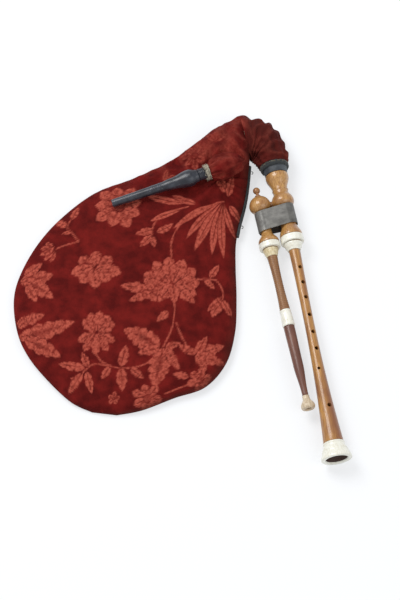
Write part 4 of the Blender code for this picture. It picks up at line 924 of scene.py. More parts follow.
# The velvet's sections: left edge, right edge, height and roundness, from the bag's far end to the neck
SECTIONS = np.array(
    (
        (-128.0, -194.5, -88.0, -199.5, 9.0, 0.0),
        (-158.0, -180.0, -52.0, -193.0, 17.0, 0.0),
        (-195.0, -144.0, -6.0, -175.0, 22.0, 0.0),
        (-222.0, -109.0, 38.0, -159.0, 25.5, 0.0),
        (-238.0, -72.0, 68.0, -123.0, 27.5, 0.0),
        (-244.5, -23.0, 81.5, -74.0, 28.5, 0.0),
        (-236.0, 19.0, 84.0, -21.0, 28.5, 0.0),
        (-212.0, 68.0, 83.0, 29.0, 28.5, 0.0),
        (-178.0, 111.0, 83.5, 66.0, 28.5, 0.0),
        (-130.0, 152.0, 88.0, 95.0, 28.0, 0.0),
        (-77.0, 175.0, 94.0, 120.0, 27.5, 0.0),
        (-36.0, 194.5, 98.0, 138.0, 30.5, 0.0),
        (-12.0, 207.5, 101.0, 157.0, 33.0, 0.0),
        (15.0, 225.0, 103.0, 174.0, 46.0, 0.2),
        (45.6, 247.8, 104.5, 191.0, 56.0, 0.4),
        (72.0, 266.0, 105.0, 202.0, 50.0, 0.6),
        (92.4, 277.8, 105.5, 208.5, 46.0, 0.7),
        (111.0, 271.0, 107.0, 207.5, 44.5, 0.8),
        (131.0, 267.5, 108.5, 205.5, 44.5, 0.8),
        (150.5, 250.0, 110.0, 202.5, 45.0, 0.9),
        (158.5, 227.0, 111.5, 199.0, 45.0, 1.0),
        (162.6, 206.0, 115.0, 194.5, 44.5, 1.0),
    )
)


def smooth_between(
    before: np.ndarray, start: np.ndarray, end: np.ndarray, after: np.ndarray, share: float
) -> np.ndarray:
    """A point on the smooth curve through four points, between the middle two.

    Args:
        before: the first point.
        start: the second, where the share is 0.
        end: the third, where the share is 1.
        after: the fourth.
        share: how far along it lies.

    Returns:
        The point.
    """
    return 0.5 * (
        2.0 * start
        + (end - before) * share
        + (2.0 * before - 5.0 * start + 4.0 * end - after) * share**2
        + (3.0 * start - before - 3.0 * end + after) * share**3
    )


def section(place: float) -> np.ndarray:
    """The velvet's section between two listed ones, on a smooth curve.

    Args:
        place: the section's number, with its share of the way to the next.

    Returns:
        Left edge, right edge, height and roundness.
    """
    last = len(SECTIONS) - 1
    index = min(int(place), last - 1)
    share = place - index
    rows = (SECTIONS[max(0, min(last, index + step))] for step in (-1, 0, 1, 2))
    return smooth_between(*rows, share)


def velvet_ring(place: float, angles: np.ndarray) -> np.ndarray:
    """Points of the velvet's outer side at one section.

    Args:
        place: which section.
        angles: turns round it: 0 at its left edge, a quarter turn on top.

    Returns:
        One row for each angle.
    """
    left_x, left_y, right_x, right_y, height, roundness = section(place)
    roundness = min(1.0, max(0.0, roundness))
    left = np.array((left_x, left_y))
    right = np.array((right_x, right_y))
    middle = 0.5 * (left + right)
    half = 0.5 * (right - left)
    edge = height * (0.36 + 0.14 * roundness)
    floor = roundness * max(0.0, AXIS_HEIGHT - 0.5 * height)
    rise = np.sin(angles)
    power = 0.8 + 0.2 * roundness
    upper = edge + (height - edge) * np.clip(rise, 0.0, 1.0) ** power
    flat = np.clip(1.0 + 2.2 * rise, 0.0, 1.0)
    lower = edge * ((1.0 - roundness) * flat + roundness * (1.0 + np.clip(rise, -1.0, 0.0)))
    tall = floor + np.where(rise >= 0.0, upper, lower)
    points = middle[None, :] - half[None, :] * np.cos(angles)[:, None]
    return np.column_stack((points, tall))


def noise_field(points: np.ndarray, size: float, seed: float) -> np.ndarray:
    """Smooth noise at each point.

    Args:
        points: where it is read.
        size: its lumps' size in millimetres.
        seed: which noise it is.

    Returns:
        A value from -1 to 1 for each point.
    """
    shift = Vector((seed, seed * 1.7, seed * 0.3))
    return np.array([noise.noise(Vector(point) / size + shift) for point in points.tolist()])


def ring_noise(angle: float, reach: float, along: float) -> float:
    """Smooth noise that meets itself round a ring.

    Args:
        angle: the turn round the ring.
        reach: how many lumps it has: a longer reach gives more.
        along: the place along its axis.

    Returns:
        A value from -1 to 1.
    """
    return noise.noise(Vector((math.cos(angle) * reach, math.sin(angle) * reach, along)))


def ridge(value: np.ndarray) -> np.ndarray:
    """Noise turned into sharp-edged folds.

    Args:
        value: noise from -1 to 1.

    Returns:
        1 on a fold's edge, less beside it.
    """
    return 1.0 - np.abs(value) * 2.0


def bell_curve(distance: np.ndarray, reach: float) -> np.ndarray:
    """A weight that fades with distance.

    Args:
        distance: how far each point is.
        reach: where the weight has fallen to about a third.

    Returns:
        A weight from 0 to 1 for each point.
    """
    return np.exp(-((distance / reach) ** 2))


class Damask:
    """The velvet's traditional pattern of flowers, leaves and stems, drawn as shares from 0 to 1."""

    def __init__(self, points: np.ndarray) -> None:
        """Start a plain ground.

        Args:
            points: the velvet's points in millimetres.
        """
        self.x = points[:, 0]
        self.y = points[:, 1]
        self.mask = np.zeros(len(points))

    def lay(self, share: np.ndarray, near: np.ndarray) -> None:
        """Add a shape where it is stronger than what is there.

        Args:
            share: the shape's strength.
            near: the numbers of the points it belongs to.
        """
        self.mask[near] = np.maximum(self.mask[near], share)

    def local(self, x: float, y: float, turn: float, reach: float) -> tuple[np.ndarray, ...]:
        """Which points lie near a place, and where they lie.

        Args:
            x: the place across the table.
            y: the place up the table.
            turn: the direction they are measured along.
            reach: how near they lie.

        Returns:
            Their numbers, and where each lies along and across the direction.
        """
        dx = self.x - x
        dy = self.y - y
        near = np.flatnonzero(dx * dx + dy * dy < reach * reach)
        angle = math.radians(turn)
        along = dx[near] * math.cos(angle) + dy[near] * math.sin(angle)
        across = -dx[near] * math.sin(angle) + dy[near] * math.cos(angle)
        return near, along, across

    def leaf(
        self,
        x: float,
        y: float,
        turn: float,
        length: float,
        width: float,
        lobes: int = 0,
        curl: float = 0.0,
        skew: float = 0.82,
    ) -> None:
        """A leaf or petal with its veins.

        Args:
            x: its foot's place across the table.
            y: its foot's place up the table.
            turn: the way it points.
            length: from foot to tip.
            width: at its widest.
            lobes: teeth along each side.
            curl: how far its tip bends aside.
            skew: above 1 it is widest towards its tip.
        """
        near, along, across = self.local(x, y, turn, length * 1.25 + abs(curl))
        share = np.clip(along / length, 0.0, 1.0)
        across = across - curl * share * share
        side = np.abs(across)
        form = np.sin(np.pi * share**skew) ** 0.75
        slanted = np.clip(share - 0.35 * side / length, 0.0, 1.0)
        teeth = 0.68 + 0.32 * np.abs(np.sin(np.pi * lobes * slanted)) ** 0.6 if lobes else 1.0
        edge = 0.5 * width * form * teeth - side
        inside = np.clip(edge / 0.8, 0.0, 1.0) * (along > 0.0) * (along < length)
        halo = np.clip(1.0 + edge / 1.4, 0.0, 1.0) * (along > -1.0) * (along < length + 1.0)
        self.mask[near] *= 1.0 - 0.95 * halo
        shade = self.veins(share, side, edge, length, width, lobes)
        self.lay(inside * (1.0 - shade), near)

    @staticmethod
    def veins(
        share: np.ndarray, side: np.ndarray, edge: np.ndarray, length: float, width: float, lobes: int
    ) -> np.ndarray:
        """The dark lines inside a leaf.

        Args:
            share: how far each point lies along the leaf.
            side: how far it lies off the middle.
            edge: how far it lies inside the outline.
            length: the leaf's length.
            width: its width.
            lobes: teeth along each side.

        Returns:
            How dark each point is.
        """
        middle = np.clip(1.5 - side / 0.6, 0.0, 1.0) * (share < 0.8)
        ribs = np.abs(np.sin(np.pi * (lobes or 1) * np.clip(share - 0.55 * side / length, 0.0, 1.0)))
        ribs = np.clip(1.0 - ribs / 0.3, 0.0, 1.0) * (side > 0.8) * (edge > 1.2) * (lobes > 1)
        heart = np.clip((edge - 0.3 * width) / 1.2, 0.0, 1.0) * (width > 24.0)
        return np.maximum(np.maximum(0.85 * middle, 0.7 * ribs), 0.55 * heart)

    def flower(
        self, x: float, y: float, radius: float, petals: int, width: float, turn: float = 0.0
    ) -> None:
        """An open flower: petals round an eye.

        Args:
            x: its middle's place across the table.
            y: its middle's place up the table.
            radius: its longest petals' length.
            petals: how many there are.
            width: each petal's width.
            turn: the way the first one points.
        """
        for index in range(petals):
            reach = radius * (1.0 if index % 2 else 0.88)
            self.leaf(x, y, turn + 360.0 * index / petals, reach, width, 2, 0.0, 1.35)
        self.eye(x, y, 0.2 * radius)

    def fan(
        self, x: float, y: float, radius: float, turn: float, spread: float, petals: int, width: float
    ) -> None:
        """A half-open flower seen from the side, its petals spread as a fan.

        Args:
            x: its foot's place across the table.
            y: its foot's place up the table.
            radius: its petals' length.
            turn: the way its middle points.
            spread: the angle between its outer petals.
            petals: how many there are.
            width: each petal's width.
        """
        order = sorted(range(petals), key=lambda index: -abs(index - 0.5 * (petals - 1)))
        for index in order:
            share = index / (petals - 1)
            reach = radius * (0.86 + 0.16 * math.sin(math.pi * share))
            self.leaf(x, y, turn + spread * (share - 0.5), reach, width, 3, 0.0, 1.5)

    def eye(self, x: float, y: float, radius: float) -> None:
        """A flower's dotted eye, ringed by a dark line.

        Args:
            x: its place across the table.
            y: its place up the table.
            radius: its radius.
        """
        near, along, across = self.local(x, y, 0.0, radius * 1.6)
        distance = np.hypot(along, across)
        self.mask[near] = np.where(distance < radius * 1.25, 0.12, self.mask[near])
        dots = 0.5 + 0.5 * np.sin(along * 2.4) * np.sin(across * 2.4)
        self.lay(np.clip((radius - distance) / 0.6, 0.0, 1.0) * dots, near)

    def stem(self, places: Sequence[Point], width: float = 2.4) -> None:
        """A stem along a smooth line.

        Args:
            places: the places that it passes through.
            width: its width.
        """
        ends = [np.array(place) for place in (places[0], *places, places[-1])]
        for spans in zip(ends, ends[1:], ends[2:], ends[3:]):
            points = [smooth_between(*spans, step / 8) for step in range(9)]
            for start, end in zip(points, points[1:]):
                self.stroke(start, end, width)

    def stroke(self, start: np.ndarray, end: np.ndarray, width: float) -> None:
        """A short straight stretch of a stem.

        Args:
            start: where it starts.
            end: where it ends.
            width: its width.
        """
        length = math.dist(start, end) + 1e-6
        turn = math.degrees(math.atan2(end[1] - start[1], end[0] - start[0]))
        near, along, across = self.local(*start, turn, length + width)
        past = np.maximum(np.maximum(-along, along - length), 0.0)
        distance = np.hypot(across, past)
        self.lay(0.85 * np.clip((0.5 * width - distance) / 0.7 + 0.5, 0.0, 1.0), near)

    def sprig(self, x: float, y: float, turn: float, size: float) -> None:
        """Three small leaves on a short stalk.

        Args:
            x: its foot's place across the table.
            y: its foot's place up the table.
            turn: the way its middle leaf points.
            size: its leaves' length.
        """
        for lean in (-48.0, 0.0, 48.0):
            self.leaf(x, y, turn + lean, size, 0.46 * size, 2)

    def draw(self) -> np.ndarray:
        """Draw the whole pattern.

        Returns:
            The share of figure at each point.
        """
        self.top()
        self.middle()
        self.bottom()
        return self.mask

    def top(self) -> None:
        """The motifs beside and above the inlet pipe."""
        self.flower(-92.0, 124.0, 40.0, 9, 21.0, 14.0)
        self.stem(((-150.0, 66.0), (-160.0, 80.0), (-168.0, 92.0), (-160.0, 108.0)))
        self.leaf(-168.0, 92.0, 148.0, 24.0, 13.0, 3)
        self.leaf(-162.0, 104.0, 66.0, 24.0, 12.0, 3)
        self.leaf(-160.0, 84.0, 196.0, 17.0, 8.0, 2)
        self.stem(((-150.0, 66.0), (-172.0, 60.0), (-186.0, 54.0)))
        self.fan(-184.0, 54.0, 24.0, 196.0, 110.0, 5, 9.0)
        node = (66.0, 133.0)
        for turn, length, width, curl in (
            (199.0, 88.0, 11.0, 20.0),
            (216.0, 84.0, 12.0, 18.0),
            (233.0, 92.0, 15.0, 14.0),
            (248.0, 88.0, 13.0, 16.0),
            (261.0, 92.0, 12.0, 14.0),
            (277.0, 60.0, 10.0, 10.0),
        ):
            self.leaf(*node, turn, length, width, 0, curl, 1.2)
        self.stem(((66.0, 133.0), (30.0, 116.0), (0.0, 92.0), (-12.0, 66.0), (-12.0, 40.0)))
        self.leaf(10.0, 128.0, 174.0, 62.0, 13.0, 0, -8.0, 1.2)
        self.leaf(24.0, 126.0, 156.0, 40.0, 12.0, 2)
        self.leaf(4.0, 118.0, 196.0, 52.0, 10.0, 0, 6.0, 1.2)
        self.stem(((12.0, 122.0), (-22.0, 112.0), (-38.0, 94.0), (-42.0, 74.0)))
        self.leaf(-40.0, 84.0, 196.0, 27.0, 14.0, 3)
        self.leaf(-42.0, 74.0, 226.0, 24.0, 13.0, 2)
        self.leaf(-42.0, 74.0, 286.0, 20.0, 10.0, 2)
        self.leaf(-34.0, 80.0, 20.0, 28.0, 13.0, 3, 5.0)
        self.leaf(70.0, 146.0, 118.0, 34.0, 15.0, 3)
        self.leaf(72.0, 140.0, 78.0, 36.0, 13.0, 3)
        self.leaf(74.0, 128.0, 300.0, 38.0, 12.0, 2, 5.0)
        self.flower(22.0, 204.0, 22.0, 7, 12.0, 15.0)
        self.sprig(-24.0, 166.0, 30.0, 20.0)
        self.sprig(52.0, 222.0, 80.0, 22.0)

    def middle(self) -> None:
        """The motifs across the bag's middle."""
        for turn, length in ((90.0, 38.0), (128.0, 37.0), (52.0, 37.0), (166.0, 33.0), (14.0, 35.0)):
            self.leaf(-124.0, 12.0, turn, length, 25.0, 3, 0.0, 1.3)
        for turn, length in ((200.0, 38.0), (340.0, 40.0), (232.0, 36.0), (308.0, 34.0), (270.0, 38.0)):
            self.leaf(-124.0, 26.0, turn, length, 21.0, 2, 0.0, 1.4)
        for turn, length in ((250.0, 26.0), (290.0, 26.0), (90.0, 22.0)):
            self.leaf(-124.0, 24.0, turn, length, 14.0, 0, 0.0, 1.3)
        self.leaf(-236.0, 4.0, 4.0, 50.0, 30.0, 4, 5.0)
        self.leaf(-232.0, 8.0, 330.0, 58.0, 25.0, 4, -6.0)
        self.leaf(-230.0, 14.0, 34.0, 32.0, 17.0, 3)
        self.leaf(-226.0, -2.0, 300.0, 34.0, 15.0, 3)
        self.leaf(-240.0, -64.0, 14.0, 46.0, 19.0, 3, 3.0)
        self.leaf(-236.0, -70.0, 44.0, 28.0, 13.0, 2)
        self.leaf(-236.0, -84.0, 6.0, 86.0, 29.0, 5, 12.0)
        self.leaf(-226.0, -88.0, 336.0, 62.0, 25.0, 4, -5.0)
        self.fan(-12.0, -6.0, 46.0, 96.0, 236.0, 9, 23.0)
        for turn, length in ((232.0, 36.0), (318.0, 44.0), (276.0, 30.0)):
            self.leaf(-10.0, -4.0, turn, length, 19.0, 3)
        self.stem(((-12.0, 2.0), (-30.0, -10.0), (-44.0, -20.0)))
        self.leaf(-38.0, -16.0, 164.0, 50.0, 19.0, 3, 4.0)
        self.leaf(-40.0, -18.0, 200.0, 36.0, 15.0, 3)
        self.leaf(-38.0, -14.0, 124.0, 26.0, 12.0, 2)
        self.stem(((-10.0, -20.0), (-7.0, -44.0), (-11.0, -74.0), (-24.0, -104.0)))
        self.stem(((14.0, 2.0), (36.0, 6.0), (54.0, 4.0), (64.0, -16.0), (60.0, -40.0)))
        self.leaf(62.0, -22.0, 246.0, 36.0, 19.0, 3)
        self.leaf(62.0, -26.0, 300.0, 30.0, 12.0, 2)
        self.leaf(62.0, -26.0, 214.0, 28.0, 12.0, 2, 4.0)
        self.leaf(44.0, 8.0, 56.0, 26.0, 12.0, 2)
        self.leaf(36.0, 6.0, 316.0, 22.0, 10.0, 2)

    def bottom(self) -> None:
        """The motifs in the bag's lower part."""
        self.fan(-120.0, -84.0, 36.0, 84.0, 96.0, 5, 17.0)
        self.fan(-120.0, -80.0, 36.0, 268.0, 120.0, 5, 15.0)
        self.leaf(-16.0, -48.0, 222.0, 22.0, 13.0, 2)
        self.leaf(-28.0, -104.0, 148.0, 60.0, 33.0, 5, 4.0)
        self.leaf(-24.0, -104.0, 262.0, 62.0, 33.0, 5, -4.0)
        self.leaf(-28.0, -104.0, 196.0, 34.0, 16.0, 3)
        self.leaf(-20.0, -104.0, 300.0, 40.0, 15.0, 3)
        self.leaf(-20.0, -104.0, 20.0, 24.0, 12.0, 2)
        self.stem(((-5.0, -66.0), (6.0, -92.0), (16.0, -106.0), (34.0, -114.0)))
        lower_right = ((150.0, 30.0, 13.0), (20.0, 44.0, 19.0), (344.0, 44.0, 19.0), (60.0, 32.0, 15.0))
        for turn, length, width in lower_right:
            self.leaf(24.0, -114.0, turn, length, width, 3)
        self.leaf(24.0, -114.0, 304.0, 28.0, 14.0, 2)
        self.stem(((-124.0, -108.0), (-112.0, -126.0), (-86.0, -136.0), (-50.0, -130.0), (-28.0, -108.0)))
        self.stem(((-98.0, -134.0), (-124.0, -130.0), (-144.0, -146.0), (-156.0, -150.0)))
        for x, y, turn, length, width in (
            (-84.0, -134.0, 78.0, 34.0, 16.0),
            (-84.0, -136.0, 274.0, 34.0, 17.0),
            (-70.0, -136.0, 320.0, 24.0, 12.0),
            (-100.0, -134.0, 236.0, 22.0, 12.0),
            (-136.0, -136.0, 168.0, 40.0, 15.0),
            (-132.0, -134.0, 112.0, 24.0, 12.0),
            (-140.0, -142.0, 236.0, 36.0, 14.0),
            (-134.0, -140.0, 284.0, 34.0, 13.0),
        ):
            self.leaf(x, y, turn, length, width, 3)
        self.flower(-46.0, -180.0, 24.0, 7, 14.0, 0.0)
        self.flower(-94.0, -180.0, 10.0, 5, 8.0, 10.0)
        self.flower(30.0, -152.0, 20.0, 6, 13.0, 20.0)
        self.leaf(14.0, -148.0, 170.0, 24.0, 12.0, 3)
        self.stem(((30.0, -152.0), (10.0, -160.0), (-20.0, -172.0)))


@dataclass
class Bag:
    """The velvet bag, its neck and what closes them."""

    finishes: Finishes
    body_rings: int = 320
    top_steps: int = 250
    under_steps: int = 44
    neck_rings: int = 110
    neck_steps: int = 150
    neck_section: float = 16.0
    gather_place: Point = (60.0, 168.0)
    relief: float = 0.35
    slack_depth: float = 1.5
    ripple_depth: float = 0.6
    gather_depth: float = 2.3
    gathers: float = 11.0
    crumple_depth: float = 4.6
    crumple_size: float = 26.0
    crease_depth: float = 1.8
    crease_size: float = 12.0
    hem_radius: float = 21.7
    hem_start: float = -44.0
    hem_runs: int = 14
    stitch_place: float = -41.6
    bend_start: Point = (99.0, 245.0)
    skin_steps: int = 64
    skin_rings: int = 70
    skin_share: Triple = (0.88, 0.88, 0.5)
    elbow_share: float = 0.8
    neck_crumple: float = 4.2
    neck_crumple_size: float = 21.0
    neck_pleats: float = 13.0
    neck_pleat_depth: float = 1.3
    neck_bend_depth: float = 1.6
    wall: float = 1.2
    leg_pleats: float = 12.0
    leg_pleat_depth: float = 1.3
    leg_lump: float = 4.2
    leg_fine_lump: float = 2.4
    leg_wall: float = 1.3
    tape_sections: Point = (8.5, 14.0)
    tape_rings: int = 90

    def surface(self, places: np.ndarray, angles: np.ndarray) -> np.ndarray:
        """The velvet's plain form over a grid of sections and turns.

        Args:
            places: the sections' numbers.
            angles: the turns round each.

        Returns:
            One row for each point, ring after ring.
        """
        return np.concatenate([velvet_ring(place, angles) for place in places])

    @staticmethod
    def grid_faces(rings: int, steps: int, closed: bool = True) -> list[tuple[int, ...]]:
        """Faces over rows of rings.

        Args:
            rings: how many rings there are.
            steps: how many points each has.
            closed: whether both ends are closed.

        Returns:
            The point numbers of each face.
        """
        faces: list[tuple[int, ...]] = []
        for ring in range(rings - 1):
            for step in range(steps):
                after = (step + 1) % steps
                row = ring * steps
                beyond = row + steps
                faces.append((row + step, row + after, beyond + after, beyond + step))
        if closed:
            faces.append(tuple(range(steps)))
            faces.append(tuple((rings - 1) * steps + step for step in range(steps)))
        return faces

    def creases(self, points: np.ndarray, up: np.ndarray) -> np.ndarray:
        """How far each point of the bag moves up or in from its plain form.

        Args:
            points: the plain form.
            up: 1 on top, 0 at the edge and below.

        Returns:
            Millimetres along Z.
        """
        slack = self.slack_depth * noise_field(points, 78.0, 3.1)
        slack += self.ripple_depth * noise_field(points, 31.0, 8.4)
        towards = points[:, :2] - np.array(self.gather_place)
        distance = np.hypot(towards[:, 0], towards[:, 1])
        angle = np.arctan2(towards[:, 1], towards[:, 0])
        rays = np.cos(angle * self.gathers + 2.2 * noise_field(points, 40.0, 1.3))
        gathers = self.gather_depth * rays * bell_curve(distance - 36.0, 34.0)
        neck = np.clip((points[:, 1] - 120.0) / 70.0, 0.0, 1.0)
        large = ridge(noise_field(points * (1.0, 1.0, 0.5), self.crumple_size, 5.7))
        small = ridge(noise_field(points, self.crease_size, 7.7))
        crumple = neck * (self.crumple_depth * large - 2.8 + self.crease_depth * small - 1.0)
        inlet = np.array(INLET_PLACE[:2])
        out = np.array((math.cos(math.radians(INLET_TURN)), math.sin(math.radians(INLET_TURN))))
        along = (points[:, :2] - inlet) @ out
        aside = np.abs((points[:, :2] - inlet) @ np.array((-out[1], out[0])))
        beside = bell_curve(aside, 15.0) * (along > -26.0) * (along < 142.0)
        moved = (slack + gathers + crumple) * (1.0 - beside) - 1.6 * beside
        return moved * up

    def dress(self, piece: bpy.types.Object, points: np.ndarray, motif_and_highlight: np.ndarray) -> None:
        """Store the pattern with its painted highlights, and the wear with the darker neck and painted
        shade, on the velvet's points.

        Args:
            piece: the velvet piece.
            points: its points in millimetres.
            motif_and_highlight: the pattern's share at each, with its painted highlights.
        """
        x, y = points[:, 0], points[:, 1]
        right = np.interp(y, SECTIONS[:17, 3], SECTIONS[:17, 2])
        worn = 0.55 * bell_curve(np.minimum(x - right, 0.0), 9.0)
        # Darker towards the neck.
        dark = 0.12 * np.clip((y - 196.0) / 55.0, 0.0, 1.0)
        # Painted shade: the velvet darkens where it lies within 8 mm of the floor, on the bag's low
        # rounded sides.
        dark += 0.3 * np.clip(-points[:, 2] / 8.0 + 1.0, 0.0, 1.0)
        # Random patches deepen the darker neck and the painted shade.
        patches = 0.25 * np.clip(noise_field(points, 34.0, 9.9), 0.0, 1.0)
        wear = np.clip(worn + dark + patches * dark, 0.0, 0.85)
        for name, values in (("motif_and_highlight", motif_and_highlight), ("wear", wear)):
            attribute = piece.data.attributes.new(name, "FLOAT", "POINT")
            attribute.data.foreach_set("value", values.astype(np.float32))

    def body(self) -> None:
        """The bag itself, crowned, slack and gathered towards the neck."""
        share = np.linspace(0.0, 1.0, self.body_rings)
        places = self.neck_section * (share**0.85)
        top = np.linspace(0.0, math.pi, self.top_steps, endpoint=False)
        under = np.linspace(math.pi, math.tau, self.under_steps, endpoint=False)
        angles = np.concatenate((top, under))
        points = self.surface(places, angles)
        up = np.tile(np.clip(np.sin(angles) * 2.4, 0.0, 1.0), len(places))
        motif_and_highlight = Damask(points).draw() * np.clip(up * 3.0, 0.0, 1.0)
        faded = 1.0 - 0.55 * np.clip((points[:, 1] - 150.0) / 60.0, 0.0, 1.0)
        # Painted highlights: pale pile on the tops of the crumpled folds near the neck, laid into the
        # pattern's share.
        crest_highlight = ridge(noise_field(points, self.crumple_size, 5.7))
        crest_highlight = np.clip(crest_highlight - 0.35, 0.0, 0.6) * (1.0 - faded) * up
        motif_and_highlight = np.maximum(motif_and_highlight * faded, crest_highlight)
        points[:, 2] += self.creases(points, up) + self.relief * motif_and_highlight * up
        points[:, 2] = np.maximum(points[:, 2], 0.0)
        faces = self.grid_faces(len(places), len(angles))
        piece = add_mesh("velvet_bag", points, faces, self.finishes.velvet)
        self.dress(piece, points, motif_and_highlight)
        give(piece, Body.BAG, ("bag_cover",))

    def hem_ring(self, place: float, radius: float, angles: np.ndarray) -> np.ndarray:
        """Points round the stock's axis, in the order of the velvet's rings.

        Args:
            place: where the ring lies along the axis.
            radius: its radius.
            angles: the turns round it.

        Returns:
            One row for each angle.
        """
        matrix = stock_place()
        return np.array(
            [tuple(matrix @ Vector((radius * math.cos(a), radius * math.sin(a), place))) for a in angles]
        )

    def neck(self) -> None:
        """The crumpled elbow of the neck, drawn in at its hem."""
        angles = np.linspace(0.0, math.tau, self.neck_steps, endpoint=False)
        last = float(len(SECTIONS) - 1)
        places = np.linspace(self.neck_section - 0.25, last, self.neck_rings)
        points = self.surface(places, angles)
        start = points[-self.neck_steps :].copy()
        end = self.hem_ring(self.hem_start, self.hem_radius - 0.4, angles)
        count = self.hem_runs
        run = [start + (end - start) * (step / count) for step in range(1, count + 1)]
        points = np.concatenate((points, *run))
        rings = len(places) + count
        turns = np.tile(angles, rings)
        shares = np.repeat(np.linspace(0.0, 1.0, rings), self.neck_steps)
        centre = points.reshape(rings, self.neck_steps, 3).mean(axis=1)
        middle = np.repeat(centre, self.neck_steps, axis=0)
        skin = middle + (points - middle) * self.elbow_share
        outwards = points - middle
        outwards /= np.maximum(np.linalg.norm(outwards, axis=1, keepdims=True), 1e-6)
        waver = 2.0 * noise_field(points, 60.0, 2.0)
        pleats = self.neck_pleat_depth * np.cos(turns * self.neck_pleats + waver)
        pleats *= np.clip(shares * 1.6 - 0.7, 0.0, 1.0)
        crumple = self.neck_crumple * ridge(noise_field(points, self.neck_crumple_size, 6.6)) - 2.2
        sway = 3.0 * noise_field(points, 26.0, 4.2)
        bends = self.neck_bend_depth * np.cos(shares * 46.0 + sway) * np.sin(math.pi * shares)
        fade = np.clip(shares * 9.0, 0.0, 1.0) * np.clip((1.0 - shares) * 14.0, 0.0, 1.0)
        points = points + outwards * ((pleats + crumple + bends) * fade + 0.25)[:, None]
        points[:, 2] = np.maximum(points[:, 2], 0.0)
        faces = self.grid_faces(rings, self.neck_steps, False)
        piece = add_mesh("velvet_neck", points, faces, self.finishes.velvet)
        thickness = piece.modifiers.new("wall", "SOLIDIFY")
        thickness.thickness = self.wall * MM
        thickness.offset = -1.0
        # Painted highlights: pale pile on the tops of the neck's crumples, stored as the pattern's share.
        highlight_patches = 0.8 * np.clip((crumple - 0.4) / 1.8, 0.0, 1.0)
        highlight_patches *= 0.6 + 0.4 * noise_field(points, 9.0, 12.0)
        self.dress(piece, points, highlight_patches)
        start_point = Vector((*self.bend_start, AXIS_HEIGHT)) * MM
        end_point = (stock_place() @ Vector((0.0, 0.0, self.hem_start))) * MM
        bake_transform(piece)
        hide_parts("neck_sleeve")
        LOG.info("velvet_neck bends between bag and stock")
        self.skin_elbow(skin, rings, start_point, end_point)

    def tape(self) -> None:
        """The rolled black tape down the velvet's right edge."""
        places = np.linspace(*self.tape_sections, self.tape_rings)
        lower = ((-0.6, -4.6), (1.6, -4.9), (2.9, -3.0), (3.1, 0.0))
        upper = ((2.9, 3.2), (1.4, 5.2), (-0.8, 5.0))
        outline = (*lower, *upper)
        edges = np.array([velvet_ring(place, np.array((math.pi,)))[0] for place in places])
        along = np.gradient(edges[:, :2], axis=0)
        outwards = np.column_stack((along[:, 1], -along[:, 0]))
        outwards /= np.linalg.norm(outwards, axis=1, keepdims=True)
        rings = []
        for edge, out, place in zip(edges, outwards, places):
            lump = 0.35 * noise.noise(Vector((place * 6.0, 0.0, 3.0)))
            for aside, up in outline:
                reach = aside + lump
                rings.append((edge[0] + out[0] * reach, edge[1] + out[1] * reach, edge[2] + up))
        faces = self.grid_faces(len(places), len(outline))
        piece = add_mesh("edge_tape", np.array(rings), faces, self.finishes.tape)
        give(piece, Body.BAG, ("closure_tape",))

    def inner_skin(self) -> None:
        """The skin bag, kept clear of the velvet's deepest folds."""
        angles = np.linspace(0.0, math.tau, self.skin_steps, endpoint=False)
        places = np.linspace(0.5, self.neck_section - 0.3, self.skin_rings)
        rings = self.surface(places, angles).reshape(len(places), len(angles), 3)
        middle = rings.mean(axis=1, keepdims=True)
        points = (middle + (rings - middle) * self.skin_share).reshape(-1, 3)
        faces = self.grid_faces(len(places), len(angles))
        piece = add_mesh("skin_bag", points, faces, self.finishes.skin)
        give(piece, Body.BAG, ("bag_skin",))

    def skin_elbow(self, points: np.ndarray, rings: int, start: Vector, end: Vector) -> None:
        """The skin inside the neck, a smaller copy of the velvet's elbow.

        Args:
            points: its points, ring after ring.
            rings: how many rings there are.
            start: where the bend starts, in metres; not used.
            end: where it ends; not used.
        """
        faces = self.grid_faces(rings, self.neck_steps, False)
        piece = add_mesh("skin_elbow", points, faces, self.finishes.skin)
        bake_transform(piece)
        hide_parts("skin_neck")
        LOG.info("skin_elbow bends between bag and stock")

    def pleat(self, angle: float, place: float) -> float:
        """The leg's pleats and lumps.

        Args:
            angle: the turn round the leg.
            place: the place along the inlet's axis.

        Returns:
            What they add to the radius.
        """
        strength = math.exp(-(((place + 24.0) / 13.0) ** 2))
        lumps = ring_noise(angle, 1.6, place * 0.06)
        fine = ring_noise(angle, 3.4, place * 0.13)
        fade = min(1.0, max(0.0, (-place - 18.0) / 10.0))
        pleats = self.leg_pleat_depth * math.cos(angle * self.leg_pleats + lumps * 3.0)
        return strength * pleats + (self.leg_lump * lumps + self.leg_fine_lump * fine) * fade

    def leg(self) -> None:
        """The velvet leg round the inlet stock, pleated where the cord draws it in."""
        foot = ((11.2, -18.2), (11.9, -18.9), (14.6, -21.5), (17.2, -27.0))
        rest = ((18.6, -34.0), (18.6, -44.0), (16.2, -56.0), (11.0, -66.0), (4.0, -72.0))
        inner = [(radius - self.leg_wall, place) for radius, place in reversed(foot)]
        outer = eased((*foot, *rest), 1.2)
        profile = [(0.0, -30.0), (inner[0][0], -27.5), *inner[1:], *outer, (0.0, -73.0)]
        piece = lathe("velvet_leg", profile, inlet_place(), self.finishes.velvet, 120, self.pleat)
        points = np.array([tuple(vertex.co) for vertex in piece.data.vertices]) / MM
        # Painted highlights: pale patches of pile on the leg's gathers, stored as the pattern's share.
        highlight_patches = 0.55 * np.clip(ridge(noise_field(points, 22.0, 15.0)) - 0.4, 0.0, 1.0)
        self.dress(piece, points, highlight_patches)
        give(piece, Body.BAG)

    @staticmethod
    def pucker(angle: float, place: float) -> float:
        """The hem tape's puckers.

        Args:
            angle: the turn round the stock.
            place: the place along it.

        Returns:
            What they add to the radius.
        """
        return 0.35 * math.cos(angle * 17.0) + 0.4 * ring_noise(angle, 2.0, place * 0.1)

